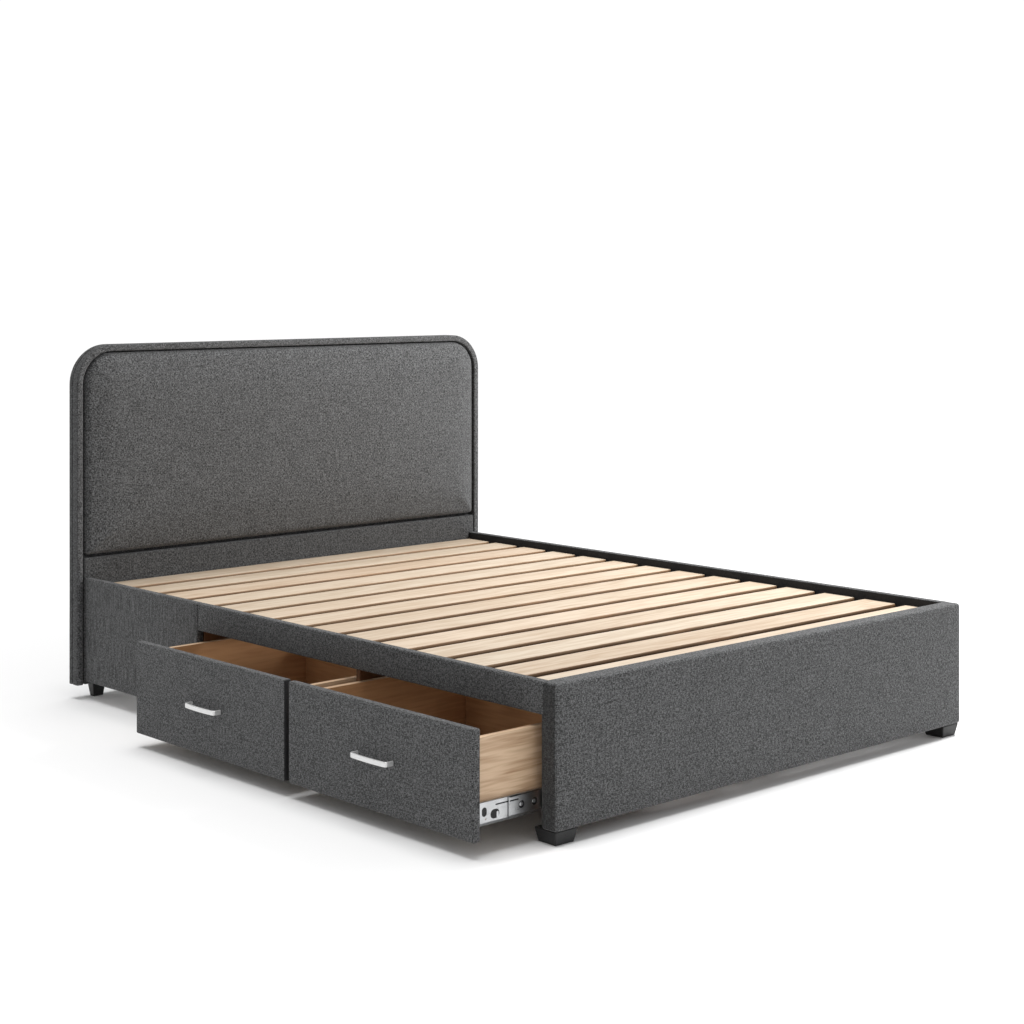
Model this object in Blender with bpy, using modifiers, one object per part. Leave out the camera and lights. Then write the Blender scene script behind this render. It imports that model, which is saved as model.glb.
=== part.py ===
"""Upholstered platform bed with a slatted base and two drawers under its near side.

The bed stands on the plane z = 0. X runs across its width, Y along its length with the headboard
at +Y, and the drawers open towards -X. The origin is the middle of the centre leg's sole.
Both drawers rest partly open.
"""

import math

import bmesh
import bpy
from mathutils import Matrix, Vector

# Clearances
TOUCH_GAP = 0.0003
PANEL_JOINT_GAP = 0.002
PAD_GROOVE = 0.007
PAD_JOINT_GAP = 0.003
FRONT_EDGE_GAP = 0.004
FRONT_MIDDLE_GAP = 0.016
FRONT_TOP_GAP = 0.003
BOARD_SETBACK = 0.0025
SLAT_END_GAP = 0.006
SLAT_SIDE_GAP = 0.004
NESTING_GAP = 0.0015

# Base
BED_WIDTH = 1.580
BASE_LENGTH = 2.070
BASE_TOP = 0.370
FOOTBOARD_THICKNESS = 0.050
PANEL_THICKNESS = 0.022
PANEL_BOTTOM = 0.054
RAIL_HEIGHT = 0.077
BAY_LENGTH = 1.404
PANEL_EDGE_RADIUS = 0.004
FOOTBOARD_EDGE_RADIUS = 0.010

# Headboard
HEADBOARD_OVERHANG = 0.026
HEADBOARD_TOP = 1.080
HEADBOARD_CORNER_RADIUS = 0.122
BORDER_FACE_WIDTH = 0.018
BORDER_DEPTH = 0.031
BACK_BOARD_THICKNESS = 0.020
PAD_LIFT = 0.062
PAD_PROUD = 0.024
PAD_EDGE_RADIUS = 0.012

# Feet
FOOT_HEIGHT = 0.033
FOOT_WIDTH = 0.072
FOOT_TAPER = 0.007
FOOT_INSET = 0.004
HEAD_FOOT_HEIGHT = 0.044
HEAD_FOOT_WIDTH = 0.046
HEAD_FOOT_DEPTH = 0.034
HEAD_FOOT_INSET = 0.058
FOOT_EDGE_RADIUS = 0.0015

# Slats and what carries them
SLAT_COUNT = 14
SLAT_SPACING = 0.036
SLAT_THICKNESS = 0.018
SLAT_DROP = 0.023
SLAT_EDGE_RADIUS = 0.002
LEDGE_WIDTH = 0.032
LEDGE_HEIGHT = 0.032
HEAD_RAIL_THICKNESS = 0.022
HEAD_RAIL_HEIGHT = 0.128
CENTRE_RAIL_WIDTH = 0.095
CENTRE_RAIL_HEIGHT = 0.034
CENTRE_LEG_WIDTH = 0.060
TIMBER_EDGE_RADIUS = 0.0015

# Drawer bay and drawers
BAY_TO_RAIL_SPACE = 0.1075
BAY_BOARD_THICKNESS = 0.015
DIVIDER_THICKNESS = 0.016
DRAWER_OPENING = 0.200
FRONT_BOTTOM = 0.038
BOX_BACK_SPACE = 0.048
BOX_BOTTOM_LIFT = 0.028
BOX_TOP_DROP = 0.028
BOX_WALL = 0.015
BOX_FLOOR = 0.006
BOX_FLOOR_LIFT = 0.006
BOARD_EDGE_RADIUS = 0.001

# Handles
HANDLE_LENGTH = 0.136
HANDLE_PROJECTION = 0.028
HANDLE_HEIGHT = 0.012
HANDLE_THICKNESS = 0.006
HANDLE_FOOT_LENGTH = 0.009
HANDLE_BOW = 0.003
HANDLE_CORNER_RADIUS = 0.007

# Telescopic runners
RUNNER_END_SPACE = 0.050
RUNNER_HEIGHT = 0.052
RUNNER_SPACE = 0.013
RUNNER_WALL = 0.0013
RUNNER_LIFT = 0.001
INNER_LIP_SPACE = 0.0042
MIDDLE_LIP_SPACE = 0.0024
OUTER_LIP_SPACE = 0.0018
RUNNER_HOLE_RADIUS = 0.0045
RUNNER_HOLE_INSET = 0.030
RUNNER_HOLE_PITCH = 0.032

ARC_STEPS = 10

# Levels and planes that several pieces share
HEADBOARD_WIDTH = BED_WIDTH + 2 * HEADBOARD_OVERHANG
TOTAL_LENGTH = BASE_LENGTH + BORDER_DEPTH + TOUCH_GAP + BACK_BOARD_THICKNESS
FOOT_Y = -TOTAL_LENGTH / 2
HEAD_Y = FOOT_Y + BASE_LENGTH
BAY_START_Y = FOOT_Y + FOOTBOARD_THICKNESS
BAY_END_Y = BAY_START_Y + BAY_LENGTH
NEAR_X = -BED_WIDTH / 2
FAR_X = BED_WIDTH / 2
SLAT_TOP = BASE_TOP - SLAT_DROP
SLAT_UNDERSIDE = SLAT_TOP - SLAT_THICKNESS
SUPPORT_TOP = SLAT_UNDERSIDE - TOUCH_GAP
RAIL_BOTTOM = BASE_TOP - RAIL_HEIGHT
FRONT_TOP = RAIL_BOTTOM - FRONT_TOP_GAP
PAD_BOTTOM = BASE_TOP + PAD_LIFT
LEDGE_BOTTOM = SUPPORT_TOP - LEDGE_HEIGHT
HEAD_RAIL_FRONT_Y = HEAD_Y - TOUCH_GAP - HEAD_RAIL_THICKNESS
SLATTED_LENGTH = HEAD_Y - BAY_START_Y - 2 * SLAT_END_GAP
SLAT_PITCH = (SLATTED_LENGTH + SLAT_SPACING) / SLAT_COUNT
SLAT_WIDTH = SLAT_PITCH - SLAT_SPACING
BAY_BOARD_TOP = LEDGE_BOTTOM - TOUCH_GAP
BAY_MIDDLE_Y = BAY_START_Y + BAY_LENGTH / 2
BOARD_FRONT_X = NEAR_X + PANEL_THICKNESS + BOARD_SETBACK
BAY_BACK_X = -CENTRE_RAIL_WIDTH / 2 - BAY_TO_RAIL_SPACE - BAY_BOARD_THICKNESS
BOX_DEPTH = BAY_BACK_X - BOX_BACK_SPACE - NEAR_X - PANEL_THICKNESS
BOX_BOTTOM = FRONT_BOTTOM + BOX_BOTTOM_LIFT
BOX_TOP = FRONT_TOP - BOX_TOP_DROP
RUNNER_LENGTH = BOX_DEPTH - RUNNER_END_SPACE
RUNNER_CENTRE_Z = BOX_BOTTOM + RUNNER_LIFT + RUNNER_HEIGHT / 2


def clear_scene():
    for item in list(bpy.data.objects):
        bpy.data.objects.remove(item, do_unlink=True)


def make_material(name, color, roughness, metallic=0.0):
    material = bpy.data.materials.new(name)
    material.use_nodes = True
    shader = material.node_tree.nodes["Principled BSDF"]
    shader.inputs["Base Color"].default_value = (*color, 1.0)
    shader.inputs["Roughness"].default_value = roughness
    shader.inputs["Metallic"].default_value = metallic
    return material


def make_collection(name):
    collection = bpy.data.collections.new(name)
    bpy.context.scene.collection.children.link(collection)
    return collection


clear_scene()
PARTS = make_collection("platform_bed")
CUTTERS = make_collection("cutters")

FINISHES = {
    "charcoal_weave": ((0.075, 0.076, 0.080), 0.95, 0.0),
    "pale_timber": ((0.78, 0.62, 0.43), 0.55, 0.0),
    "drawer_timber": ((0.66, 0.46, 0.28), 0.55, 0.0),
    "bay_board": ((0.26, 0.15, 0.08), 0.65, 0.0),
    "zinc": ((0.72, 0.73, 0.74), 0.32, 1.0),
    "satin_metal": ((0.78, 0.78, 0.78), 0.25, 1.0),
    "black_plastic": ((0.015, 0.015, 0.016), 0.5, 0.0),
}


def place(item, name, finish, collection=PARTS):
    """Names an object, gives it its own material and puts it in one collection."""
    item.name = name
    item.data.name = name
    color, roughness, metallic = FINISHES[finish]
    item.data.materials.clear()
    item.data.materials.append(make_material(name, color, roughness, metallic))
    for other in list(item.users_collection):
        other.objects.unlink(item)
    collection.objects.link(item)
    return item


def add_bevel(item, radius, segments=1):
    bevel = item.modifiers.new("rounded_edges", "BEVEL")
    bevel.width = radius
    bevel.segments = segments
    bevel.limit_method = "ANGLE"
    bevel.angle_limit = math.radians(40)
    bevel.harden_normals = False


def board(name, finish, x, y, z, radius=BOARD_EDGE_RADIUS, segments=1):
    """A board between two limits on each axis, with its edges eased."""
    low = Vector((min(x), min(y), min(z)))
    high = Vector((max(x), max(y), max(z)))
    bpy.ops.mesh.primitive_cube_add(size=1, location=(low + high) / 2)
    item = bpy.context.active_object
    item.scale = high - low
    bpy.ops.object.transform_apply(location=False, rotation=False, scale=True)
    place(item, name, finish)
    if radius > 0:
        add_bevel(item, radius, segments)
    return item


def outline_solid(name, finish, points, depth, frame, centre):
    """A flat outline given depth: frame holds the outline's two directions and its depth's."""
    curve = bpy.data.curves.new(name, "CURVE")
    curve.dimensions = "2D"
    curve.fill_mode = "BOTH"
    curve.extrude = depth / 2
    spline = curve.splines.new("POLY")
    spline.points.add(len(points) - 1)
    for point, (across, up) in zip(spline.points, points):
        point.co = (across, up, 0.0, 1.0)
    spline.use_cyclic_u = True
    flat = bpy.data.objects.new(name, curve)
    bpy.context.scene.collection.objects.link(flat)
    flat.matrix_world = Matrix.Translation(centre) @ Matrix(frame).transposed().to_4x4()
    bpy.context.view_layer.update()
    mesh = bpy.data.meshes.new_from_object(flat.evaluated_get(bpy.context.evaluated_depsgraph_get()))
    solid = bmesh.new()
    solid.from_mesh(mesh)
    bmesh.ops.remove_doubles(solid, verts=solid.verts, dist=0.00001)
    bmesh.ops.recalc_face_normals(solid, faces=solid.faces)
    solid.to_mesh(mesh)
    solid.free()
    item = bpy.data.objects.new(name, mesh)
    item.matrix_world = flat.matrix_world
    bpy.context.scene.collection.objects.link(item)
    bpy.data.objects.remove(flat, do_unlink=True)
    return place(item, name, finish)


# Directions of an outline's width, height and depth
ACROSS_BED = ((1, 0, 0), (0, 0, 1), (0, -1, 0))
ALONG_RUNNER = ((0, 1, 0), (0, 0, 1), (1, 0, 0))
FROM_ABOVE = ((1, 0, 0), (0, 1, 0), (0, 0, 1))


def arc(centre, radius, start, end):
    """Points of an arc, with its angles in degrees."""
    points = []
    for step in range(ARC_STEPS + 1):
        angle = math.radians(start + (end - start) * step / ARC_STEPS)
        points.append((centre[0] + radius * math.cos(angle), centre[1] + radius * math.sin(angle)))
    return points


def arch(half_width, bottom, top, corner):
    """The outline of an upright panel whose two upper corners are round."""
    right = arc((half_width - corner, top - corner), corner, 0, 90)
    left = arc((corner - half_width, top - corner), corner, 90, 180)
    return [(half_width, bottom)] + right + left + [(-half_width, bottom)]


def group_origin(name, location):
    """An empty on a sliding joint's axis, which carries the pieces that slide together."""
    empty = bpy.data.objects.new(name, None)
    empty.location = location
    empty.empty_display_size = 0.05
    PARTS.objects.link(empty)
    bpy.context.view_layer.update()
    return empty


def carry(empty, items):
    for item in items:
        item.parent = empty
        item.matrix_parent_inverse = empty.matrix_world.inverted()


def cut(item, cutter):
    cutter.hide_render = True
    cutter.display_type = "WIRE"
    for other in list(cutter.users_collection):
        other.objects.unlink(cutter)
    CUTTERS.objects.link(cutter)
    boolean = item.modifiers.new("hole", "BOOLEAN")
    boolean.operation = "DIFFERENCE"
    boolean.solver = "EXACT"
    boolean.object = cutter


# ---------------------------------------------------------------- headboard

def build_headboard():
    half_width = HEADBOARD_WIDTH / 2
    border_y = HEAD_Y + BORDER_DEPTH / 2
    outer = arch(half_width, HEAD_FOOT_HEIGHT, HEADBOARD_TOP, HEADBOARD_CORNER_RADIUS)
    inner = arch(
        half_width - BORDER_FACE_WIDTH,
        HEAD_FOOT_HEIGHT,
        HEADBOARD_TOP - BORDER_FACE_WIDTH,
        HEADBOARD_CORNER_RADIUS - BORDER_FACE_WIDTH,
    )
    border = outer + inner[::-1]
    item = outline_solid(
        "headboard_border", "charcoal_weave", border, BORDER_DEPTH, ACROSS_BED, (0, border_y, 0)
    )
    add_bevel(item, PANEL_EDGE_RADIUS)
    back_y = HEAD_Y + BORDER_DEPTH + TOUCH_GAP + BACK_BOARD_THICKNESS / 2
    item = outline_solid(
        "headboard_back_board", "charcoal_weave", outer, BACK_BOARD_THICKNESS, ACROSS_BED, (0, back_y, 0)
    )
    add_bevel(item, PANEL_EDGE_RADIUS)

    infill_half_width = half_width - BORDER_FACE_WIDTH - PAD_GROOVE
    board(
        "headboard_lower_panel",
        "charcoal_weave",
        (-infill_half_width, infill_half_width),
        (HEAD_Y, HEAD_Y + BORDER_DEPTH),
        (HEAD_FOOT_HEIGHT, PAD_BOTTOM - PAD_JOINT_GAP),
        PANEL_EDGE_RADIUS,
    )
    corner = HEADBOARD_CORNER_RADIUS - BORDER_FACE_WIDTH - PAD_GROOVE
    outline = arch(infill_half_width, PAD_BOTTOM, HEADBOARD_TOP - BORDER_FACE_WIDTH - PAD_GROOVE, corner)
    depth = BORDER_DEPTH + PAD_PROUD
    pad_y = HEAD_Y + BORDER_DEPTH - depth / 2
    item = outline_solid("headboard_pad", "charcoal_weave", outline, depth, ACROSS_BED, (0, pad_y, 0))
    add_bevel(item, PAD_EDGE_RADIUS, 3)


# ---------------------------------------------------------------- base frame

def build_base_frame():
    board(
        "footboard",
        "charcoal_weave",
        (NEAR_X, FAR_X),
        (FOOT_Y, BAY_START_Y),
        (FOOT_HEIGHT + TOUCH_GAP, BASE_TOP),
        FOOTBOARD_EDGE_RADIUS,
        3,
    )
    near_side = (NEAR_X, NEAR_X + PANEL_THICKNESS)
    far_side = (FAR_X - PANEL_THICKNESS, FAR_X)
    panel_height = (PANEL_BOTTOM, BASE_TOP)
    panel_end_y = HEAD_Y - TOUCH_GAP
    panel_start_y = BAY_START_Y + TOUCH_GAP
    board(
        "near_side_panel",
        "charcoal_weave",
        near_side,
        (BAY_END_Y, panel_end_y),
        panel_height,
        PANEL_EDGE_RADIUS,
        2,
    )
    board(
        "near_top_rail",
        "charcoal_weave",
        near_side,
        (panel_start_y, BAY_END_Y - PANEL_JOINT_GAP),
        (RAIL_BOTTOM, BASE_TOP),
        PANEL_EDGE_RADIUS,
        2,
    )
    board(
        "far_side_panel",
        "charcoal_weave",
        far_side,
        (panel_start_y, panel_end_y),
        panel_height,
        PANEL_EDGE_RADIUS,
        2,
    )

    inner_near_x = NEAR_X + PANEL_THICKNESS + TOUCH_GAP
    inner_far_x = -inner_near_x
    board(
        "head_cross_rail",
        "pale_timber",
        (inner_near_x, inner_far_x),
        (HEAD_RAIL_FRONT_Y, HEAD_Y - TOUCH_GAP),
        (SUPPORT_TOP - HEAD_RAIL_HEIGHT, SUPPORT_TOP),
        TIMBER_EDGE_RADIUS,
    )
    ledge_y = (panel_start_y, HEAD_RAIL_FRONT_Y - TOUCH_GAP)
    ledge_z = (LEDGE_BOTTOM, SUPPORT_TOP)
    for side, x in (("near", inner_near_x), ("far", inner_far_x)):
        inward = -math.copysign(LEDGE_WIDTH, x)
        board(f"slat_ledge_{side}", "pale_timber", (x, x + inward), ledge_y, ledge_z, TIMBER_EDGE_RADIUS)
    rail_underside = SUPPORT_TOP - CENTRE_RAIL_HEIGHT
    board(
        "centre_rail",
        "pale_timber",
        (-CENTRE_RAIL_WIDTH / 2, CENTRE_RAIL_WIDTH / 2),
        ledge_y,
        (rail_underside, SUPPORT_TOP),
        TIMBER_EDGE_RADIUS,
    )
    half_leg = CENTRE_LEG_WIDTH / 2
    board(
        "centre_leg",
        "pale_timber",
        (-half_leg, half_leg),
        (-half_leg, half_leg),
        (0.0, rail_underside - TOUCH_GAP),
        TIMBER_EDGE_RADIUS,
    )


def tapered_foot(name, centre_x, centre_y, width, depth, height):
    """A four-sided foot that narrows towards the floor."""
    bpy.ops.mesh.primitive_cone_add(
        vertices=4,
        radius1=(width / 2 - FOOT_TAPER) * math.sqrt(2),
        radius2=width / 2 * math.sqrt(2),
        depth=height,
        location=(centre_x, centre_y, height / 2),
        rotation=(0, 0, math.radians(45)),
    )
    item = bpy.context.active_object
    bpy.ops.object.transform_apply(location=False, rotation=True, scale=False)
    item.scale = (1.0, depth / width, 1.0)
    bpy.ops.object.transform_apply(location=False, rotation=False, scale=True)
    place(item, name, "black_plastic")
    add_bevel(item, FOOT_EDGE_RADIUS)


def build_feet():
    foot_y = FOOT_Y + FOOT_INSET + FOOT_WIDTH / 2
    head_y = HEAD_Y + (TOTAL_LENGTH - BASE_LENGTH) / 2
    foot_x = BED_WIDTH / 2 - FOOT_INSET - FOOT_WIDTH / 2
    head_x = HEADBOARD_WIDTH / 2 - HEAD_FOOT_INSET - HEAD_FOOT_WIDTH / 2
    for side, sign in (("near", -1), ("far", 1)):
        tapered_foot(f"foot_end_{side}_foot", sign * foot_x, foot_y, FOOT_WIDTH, FOOT_WIDTH, FOOT_HEIGHT)
        height = HEAD_FOOT_HEIGHT - TOUCH_GAP
        tapered_foot(f"head_end_{side}_foot", sign * head_x, head_y, HEAD_FOOT_WIDTH, HEAD_FOOT_DEPTH, height)


def build_slats():
    reach = BED_WIDTH / 2 - PANEL_THICKNESS - SLAT_SIDE_GAP
    for index in range(SLAT_COUNT):
        start = BAY_START_Y + SLAT_END_GAP + index * SLAT_PITCH
        board(
            f"slat_{index + 1:02d}",
            "pale_timber",
            (-reach, reach),
            (start, start + SLAT_WIDTH),
            (SLAT_UNDERSIDE, SLAT_TOP),
            SLAT_EDGE_RADIUS,
        )


# ---------------------------------------------------------------- drawer bay

def build_bay():
    board_x = (BOARD_FRONT_X, BAY_BACK_X - TOUCH_GAP)
    board_z = (PANEL_BOTTOM, BAY_BOARD_TOP)
    foot_y = (BAY_START_Y + TOUCH_GAP, BAY_START_Y + TOUCH_GAP + BAY_BOARD_THICKNESS)
    foot_z = (FOOT_HEIGHT + TOUCH_GAP, BAY_BOARD_TOP)
    divider_y = (BAY_MIDDLE_Y - DIVIDER_THICKNESS / 2, BAY_MIDDLE_Y + DIVIDER_THICKNESS / 2)
    head_y = (BAY_END_Y, BAY_END_Y + BAY_BOARD_THICKNESS)
    board("bay_board_foot_end", "bay_board", board_x, foot_y, foot_z)
    board("bay_divider", "bay_board", board_x, divider_y, board_z)
    board("bay_board_head_end", "bay_board", board_x, head_y, board_z)
    back_x = (BAY_BACK_X, BAY_BACK_X + BAY_BOARD_THICKNESS)
    board("bay_back_board", "bay_board", back_x, (foot_y[0], head_y[1]), board_z)
    return foot_y[1], divider_y, head_y[0]


# ---------------------------------------------------------------- runners

def channel(height, lip, opening):
    """The outline of a channel whose web is at zero and whose lips reach towards opening (1 or -1)."""
    half = height / 2
    wall = RUNNER_WALL
    outline = [
        (0, -half),
        (lip, -half),
        (lip, wall - half),
        (wall, wall - half),
        (wall, half - wall),
        (lip, half - wall),
        (lip, half),
        (0, half),
    ]
    return [(opening * across, up) for across, up in outline]


def build_runner(name, board_y, direction):
    """One runner between a fixed board's face at board_y and a drawer side, which lies in direction."""
    closed_x = BOARD_FRONT_X
    nest = RUNNER_WALL + NESTING_GAP
    drawer_web_y = board_y + direction * (RUNNER_SPACE - TOUCH_GAP)
    middle_web_y = drawer_web_y - direction * nest
    fixed_web_y = board_y + direction * TOUCH_GAP
    inner_lip = RUNNER_SPACE - TOUCH_GAP - INNER_LIP_SPACE
    middle_lip = RUNNER_SPACE - TOUCH_GAP - nest - MIDDLE_LIP_SPACE
    outer_lip = RUNNER_SPACE - 2 * TOUCH_GAP - nest - RUNNER_WALL - OUTER_LIP_SPACE
    members = (
        ("inner", drawer_web_y, RUNNER_HEIGHT, inner_lip, -direction, DRAWER_OPENING),
        ("middle", middle_web_y, RUNNER_HEIGHT - 2 * nest, middle_lip, -direction, DRAWER_OPENING / 2),
        ("outer", fixed_web_y, RUNNER_HEIGHT - 4 * nest, outer_lip, direction, 0.0),
    )
    built = {}
    for member, web_y, height, lip, opening, shift in members:
        centre = (closed_x - shift + RUNNER_LENGTH / 2, web_y, RUNNER_CENTRE_Z)
        built[member] = outline_solid(
            f"{name}_{member}", "zinc", channel(height, lip, opening), RUNNER_LENGTH, ALONG_RUNNER, centre
        )
    hole_places = (
        RUNNER_HOLE_INSET,
        RUNNER_HOLE_INSET + RUNNER_HOLE_PITCH,
        RUNNER_LENGTH / 2,
        RUNNER_LENGTH - RUNNER_HOLE_INSET,
    )
    for index, place_along in enumerate(hole_places):
        hole_x = closed_x - DRAWER_OPENING + place_along
        bpy.ops.mesh.primitive_cylinder_add(
            vertices=12,
            radius=RUNNER_HOLE_RADIUS,
            depth=4 * RUNNER_WALL,
            location=(hole_x, drawer_web_y - direction * RUNNER_WALL / 2, RUNNER_CENTRE_Z),
            rotation=(math.radians(90), 0, 0),
        )
        cutter = bpy.context.active_object
        cutter.name = f"{name}_hole_{index + 1}"
        cut(built["inner"], cutter)
    axis_point = (closed_x - DRAWER_OPENING / 2, middle_web_y, RUNNER_CENTRE_Z)
    carry(group_origin(f"{name}_middle_axis", axis_point), [built["middle"]])
    return built["inner"]


# ---------------------------------------------------------------- drawers

def handle_outline():
    """A bar pull from above: two feet at x = 0 and a slightly bowed bar at -x."""
    half = HANDLE_LENGTH / 2
    bar = HANDLE_PROJECTION - HANDLE_BOW
    corner = HANDLE_CORNER_RADIUS
    bow_radius = (half - corner) ** 2 / (2 * HANDLE_BOW) + HANDLE_BOW / 2
    spread = math.degrees(math.asin((half - corner) / bow_radius))

    def bowed(offset, reach):
        radius = bow_radius - offset
        share = math.degrees(math.asin(reach / radius))
        return arc((bow_radius - HANDLE_PROJECTION, 0), radius, 180 - share, 180 + share)

    outer_corner = arc((corner - bar, half - corner), corner, 90, 180 - spread)
    outer = [(0.0, half)] + outer_corner[:-1] + bowed(0.0, half - corner)
    mirrored = [(across, -along) for across, along in reversed(outer_corner[:-1])]
    outer += mirrored + [(0.0, -half)]
    inner_half = half - HANDLE_FOOT_LENGTH
    inner = [(0.0, -inner_half)] + bowed(HANDLE_THICKNESS, inner_half)[::-1] + [(0.0, inner_half)]
    return outer + inner


def build_drawer(name, front_y, bay_y):
    """A drawer whose front spans front_y and whose box and runners fill bay_y."""
    front_x = NEAR_X - DRAWER_OPENING
    back_of_front_x = front_x + PANEL_THICKNESS
    pieces = [
        board(
            f"{name}_front",
            "charcoal_weave",
            (front_x, back_of_front_x),
            front_y,
            (FRONT_BOTTOM, FRONT_TOP),
            PANEL_EDGE_RADIUS,
            2,
        )
    ]
    box_y = (bay_y[0] + RUNNER_SPACE, bay_y[1] - RUNNER_SPACE)
    box_x = (back_of_front_x + TOUCH_GAP, back_of_front_x + BOX_DEPTH)
    box_z = (BOX_BOTTOM, BOX_TOP)
    inner_y = (box_y[0] + BOX_WALL + TOUCH_GAP, box_y[1] - BOX_WALL - TOUCH_GAP)
    foot_side_y = (box_y[0], box_y[0] + BOX_WALL)
    head_side_y = (box_y[1] - BOX_WALL, box_y[1])
    pieces.append(board(f"{name}_side_foot_end", "drawer_timber", box_x, foot_side_y, box_z))
    pieces.append(board(f"{name}_side_head_end", "drawer_timber", box_x, head_side_y, box_z))
    pieces.append(board(f"{name}_back", "drawer_timber", (box_x[1] - BOX_WALL, box_x[1]), inner_y, box_z))
    floor_x = (box_x[0], box_x[1] - BOX_WALL - TOUCH_GAP)
    floor_z = (BOX_BOTTOM + BOX_FLOOR_LIFT, BOX_BOTTOM + BOX_FLOOR_LIFT + BOX_FLOOR)
    pieces.append(board(f"{name}_floor", "drawer_timber", floor_x, inner_y, floor_z, 0.0))

    middle_y = (front_y[0] + front_y[1]) / 2
    middle_z = (FRONT_BOTTOM + FRONT_TOP) / 2
    handle = outline_solid(
        f"{name}_handle",
        "satin_metal",
        handle_outline(),
        HANDLE_HEIGHT,
        FROM_ABOVE,
        (front_x - TOUCH_GAP, middle_y, middle_z),
    )
    pieces.append(handle)
    pieces.append(build_runner(f"{name}_runner_foot_end", bay_y[0], 1))
    pieces.append(build_runner(f"{name}_runner_head_end", bay_y[1], -1))
    carry(group_origin(f"{name}_axis", (front_x, middle_y, RUNNER_CENTRE_Z)), pieces)


def build_drawers(foot_face_y, divider_y, head_face_y):
    split = FRONT_MIDDLE_GAP / 2
    foot_front = (BAY_START_Y + FRONT_EDGE_GAP, BAY_MIDDLE_Y - split)
    head_front = (BAY_MIDDLE_Y + split, BAY_END_Y - FRONT_EDGE_GAP)
    build_drawer("foot_drawer", foot_front, (foot_face_y, divider_y[0]))
    build_drawer("head_drawer", head_front, (divider_y[1], head_face_y))


build_headboard()
build_base_frame()
build_feet()
build_slats()
build_drawers(*build_bay())
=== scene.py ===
"""Looks of an upholstered platform bed with a slatted base and two drawers.

Laid out as an add-on and run as a script: each operator makes one group of pieces around the
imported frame, in metres and in the frame's own axes.
"""

import math

import bmesh
import bpy
from mathutils import Matrix, Vector, noise


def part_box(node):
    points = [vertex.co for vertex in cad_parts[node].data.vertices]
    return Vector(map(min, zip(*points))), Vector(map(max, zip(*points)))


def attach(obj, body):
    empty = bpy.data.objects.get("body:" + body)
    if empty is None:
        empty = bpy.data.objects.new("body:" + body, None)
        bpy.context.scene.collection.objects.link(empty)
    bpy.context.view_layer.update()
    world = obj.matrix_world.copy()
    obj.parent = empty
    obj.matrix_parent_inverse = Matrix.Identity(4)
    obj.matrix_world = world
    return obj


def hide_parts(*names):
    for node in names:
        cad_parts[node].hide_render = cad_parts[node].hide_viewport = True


bl_info = {
    "name": "Platform bed looks",
    "version": (1, 0, 0),
    "blender": (4, 5, 0),
    "location": "View3D > Sidebar > Bed",
    "description": "Upholstery, timber, runners and handles of a platform bed with drawers",
    "category": "Object",
}

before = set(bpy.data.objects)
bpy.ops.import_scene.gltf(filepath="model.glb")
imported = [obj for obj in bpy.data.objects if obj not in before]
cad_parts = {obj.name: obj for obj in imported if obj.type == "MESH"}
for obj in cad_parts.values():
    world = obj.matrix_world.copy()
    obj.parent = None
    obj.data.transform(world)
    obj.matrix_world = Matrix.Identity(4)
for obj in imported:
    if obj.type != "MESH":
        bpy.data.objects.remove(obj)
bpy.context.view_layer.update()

BED_BODY = "bed_frame"
DRAWERS = ("foot_drawer", "head_drawer")
RUNNER_ENDS = ("foot_end", "head_end")


# ------------------------------------------------------------------ settings

class BedSizes(bpy.types.PropertyGroup):
    yarn_pitch: bpy.props.FloatProperty(
        name="Yarn pitch", description="Distance from one yarn of the cloth to the next",
        default=0.0023, unit="LENGTH",
    )
    panel_crown: bpy.props.FloatProperty(
        name="Panel crown", description="How far the wadding lifts the cloth off a flat panel",
        default=0.002, unit="LENGTH",
    )
    panel_radius: bpy.props.FloatProperty(
        name="Panel edge", description="Radius of the thin panels' edges", default=0.0045, unit="LENGTH",
    )
    footboard_radius: bpy.props.FloatProperty(
        name="Footboard edge", description="Radius of the footboard's edges", default=0.008, unit="LENGTH",
    )
    pad_roll: bpy.props.FloatProperty(
        name="Pad roll", description="Width of the rounded edge of the headboard's pad",
        default=0.055, unit="LENGTH",
    )
    pad_swell: bpy.props.FloatProperty(
        name="Pad swell", description="The furthest that stuffing pushes the pad's cloth out",
        default=0.007, unit="LENGTH",
    )
    slat_edge: bpy.props.FloatProperty(
        name="Slat edge", description="Rounding of the slats' edges", default=0.003, unit="LENGTH",
    )
    handle_edge: bpy.props.FloatProperty(
        name="Handle edge", description="Rounding of a handle's edges", default=0.0012, unit="LENGTH",
    )
    camera_lens: bpy.props.FloatProperty(
        name="Lens", description="Focal length for a 36 mm sensor", default=67.03, min=1.0, unit="CAMERA",
    )


def colour_property(name, description, default):
    return bpy.props.FloatVectorProperty(
        name=name, description=description, default=default, subtype="COLOR", size=3, min=0.0, max=1.0
    )


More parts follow.
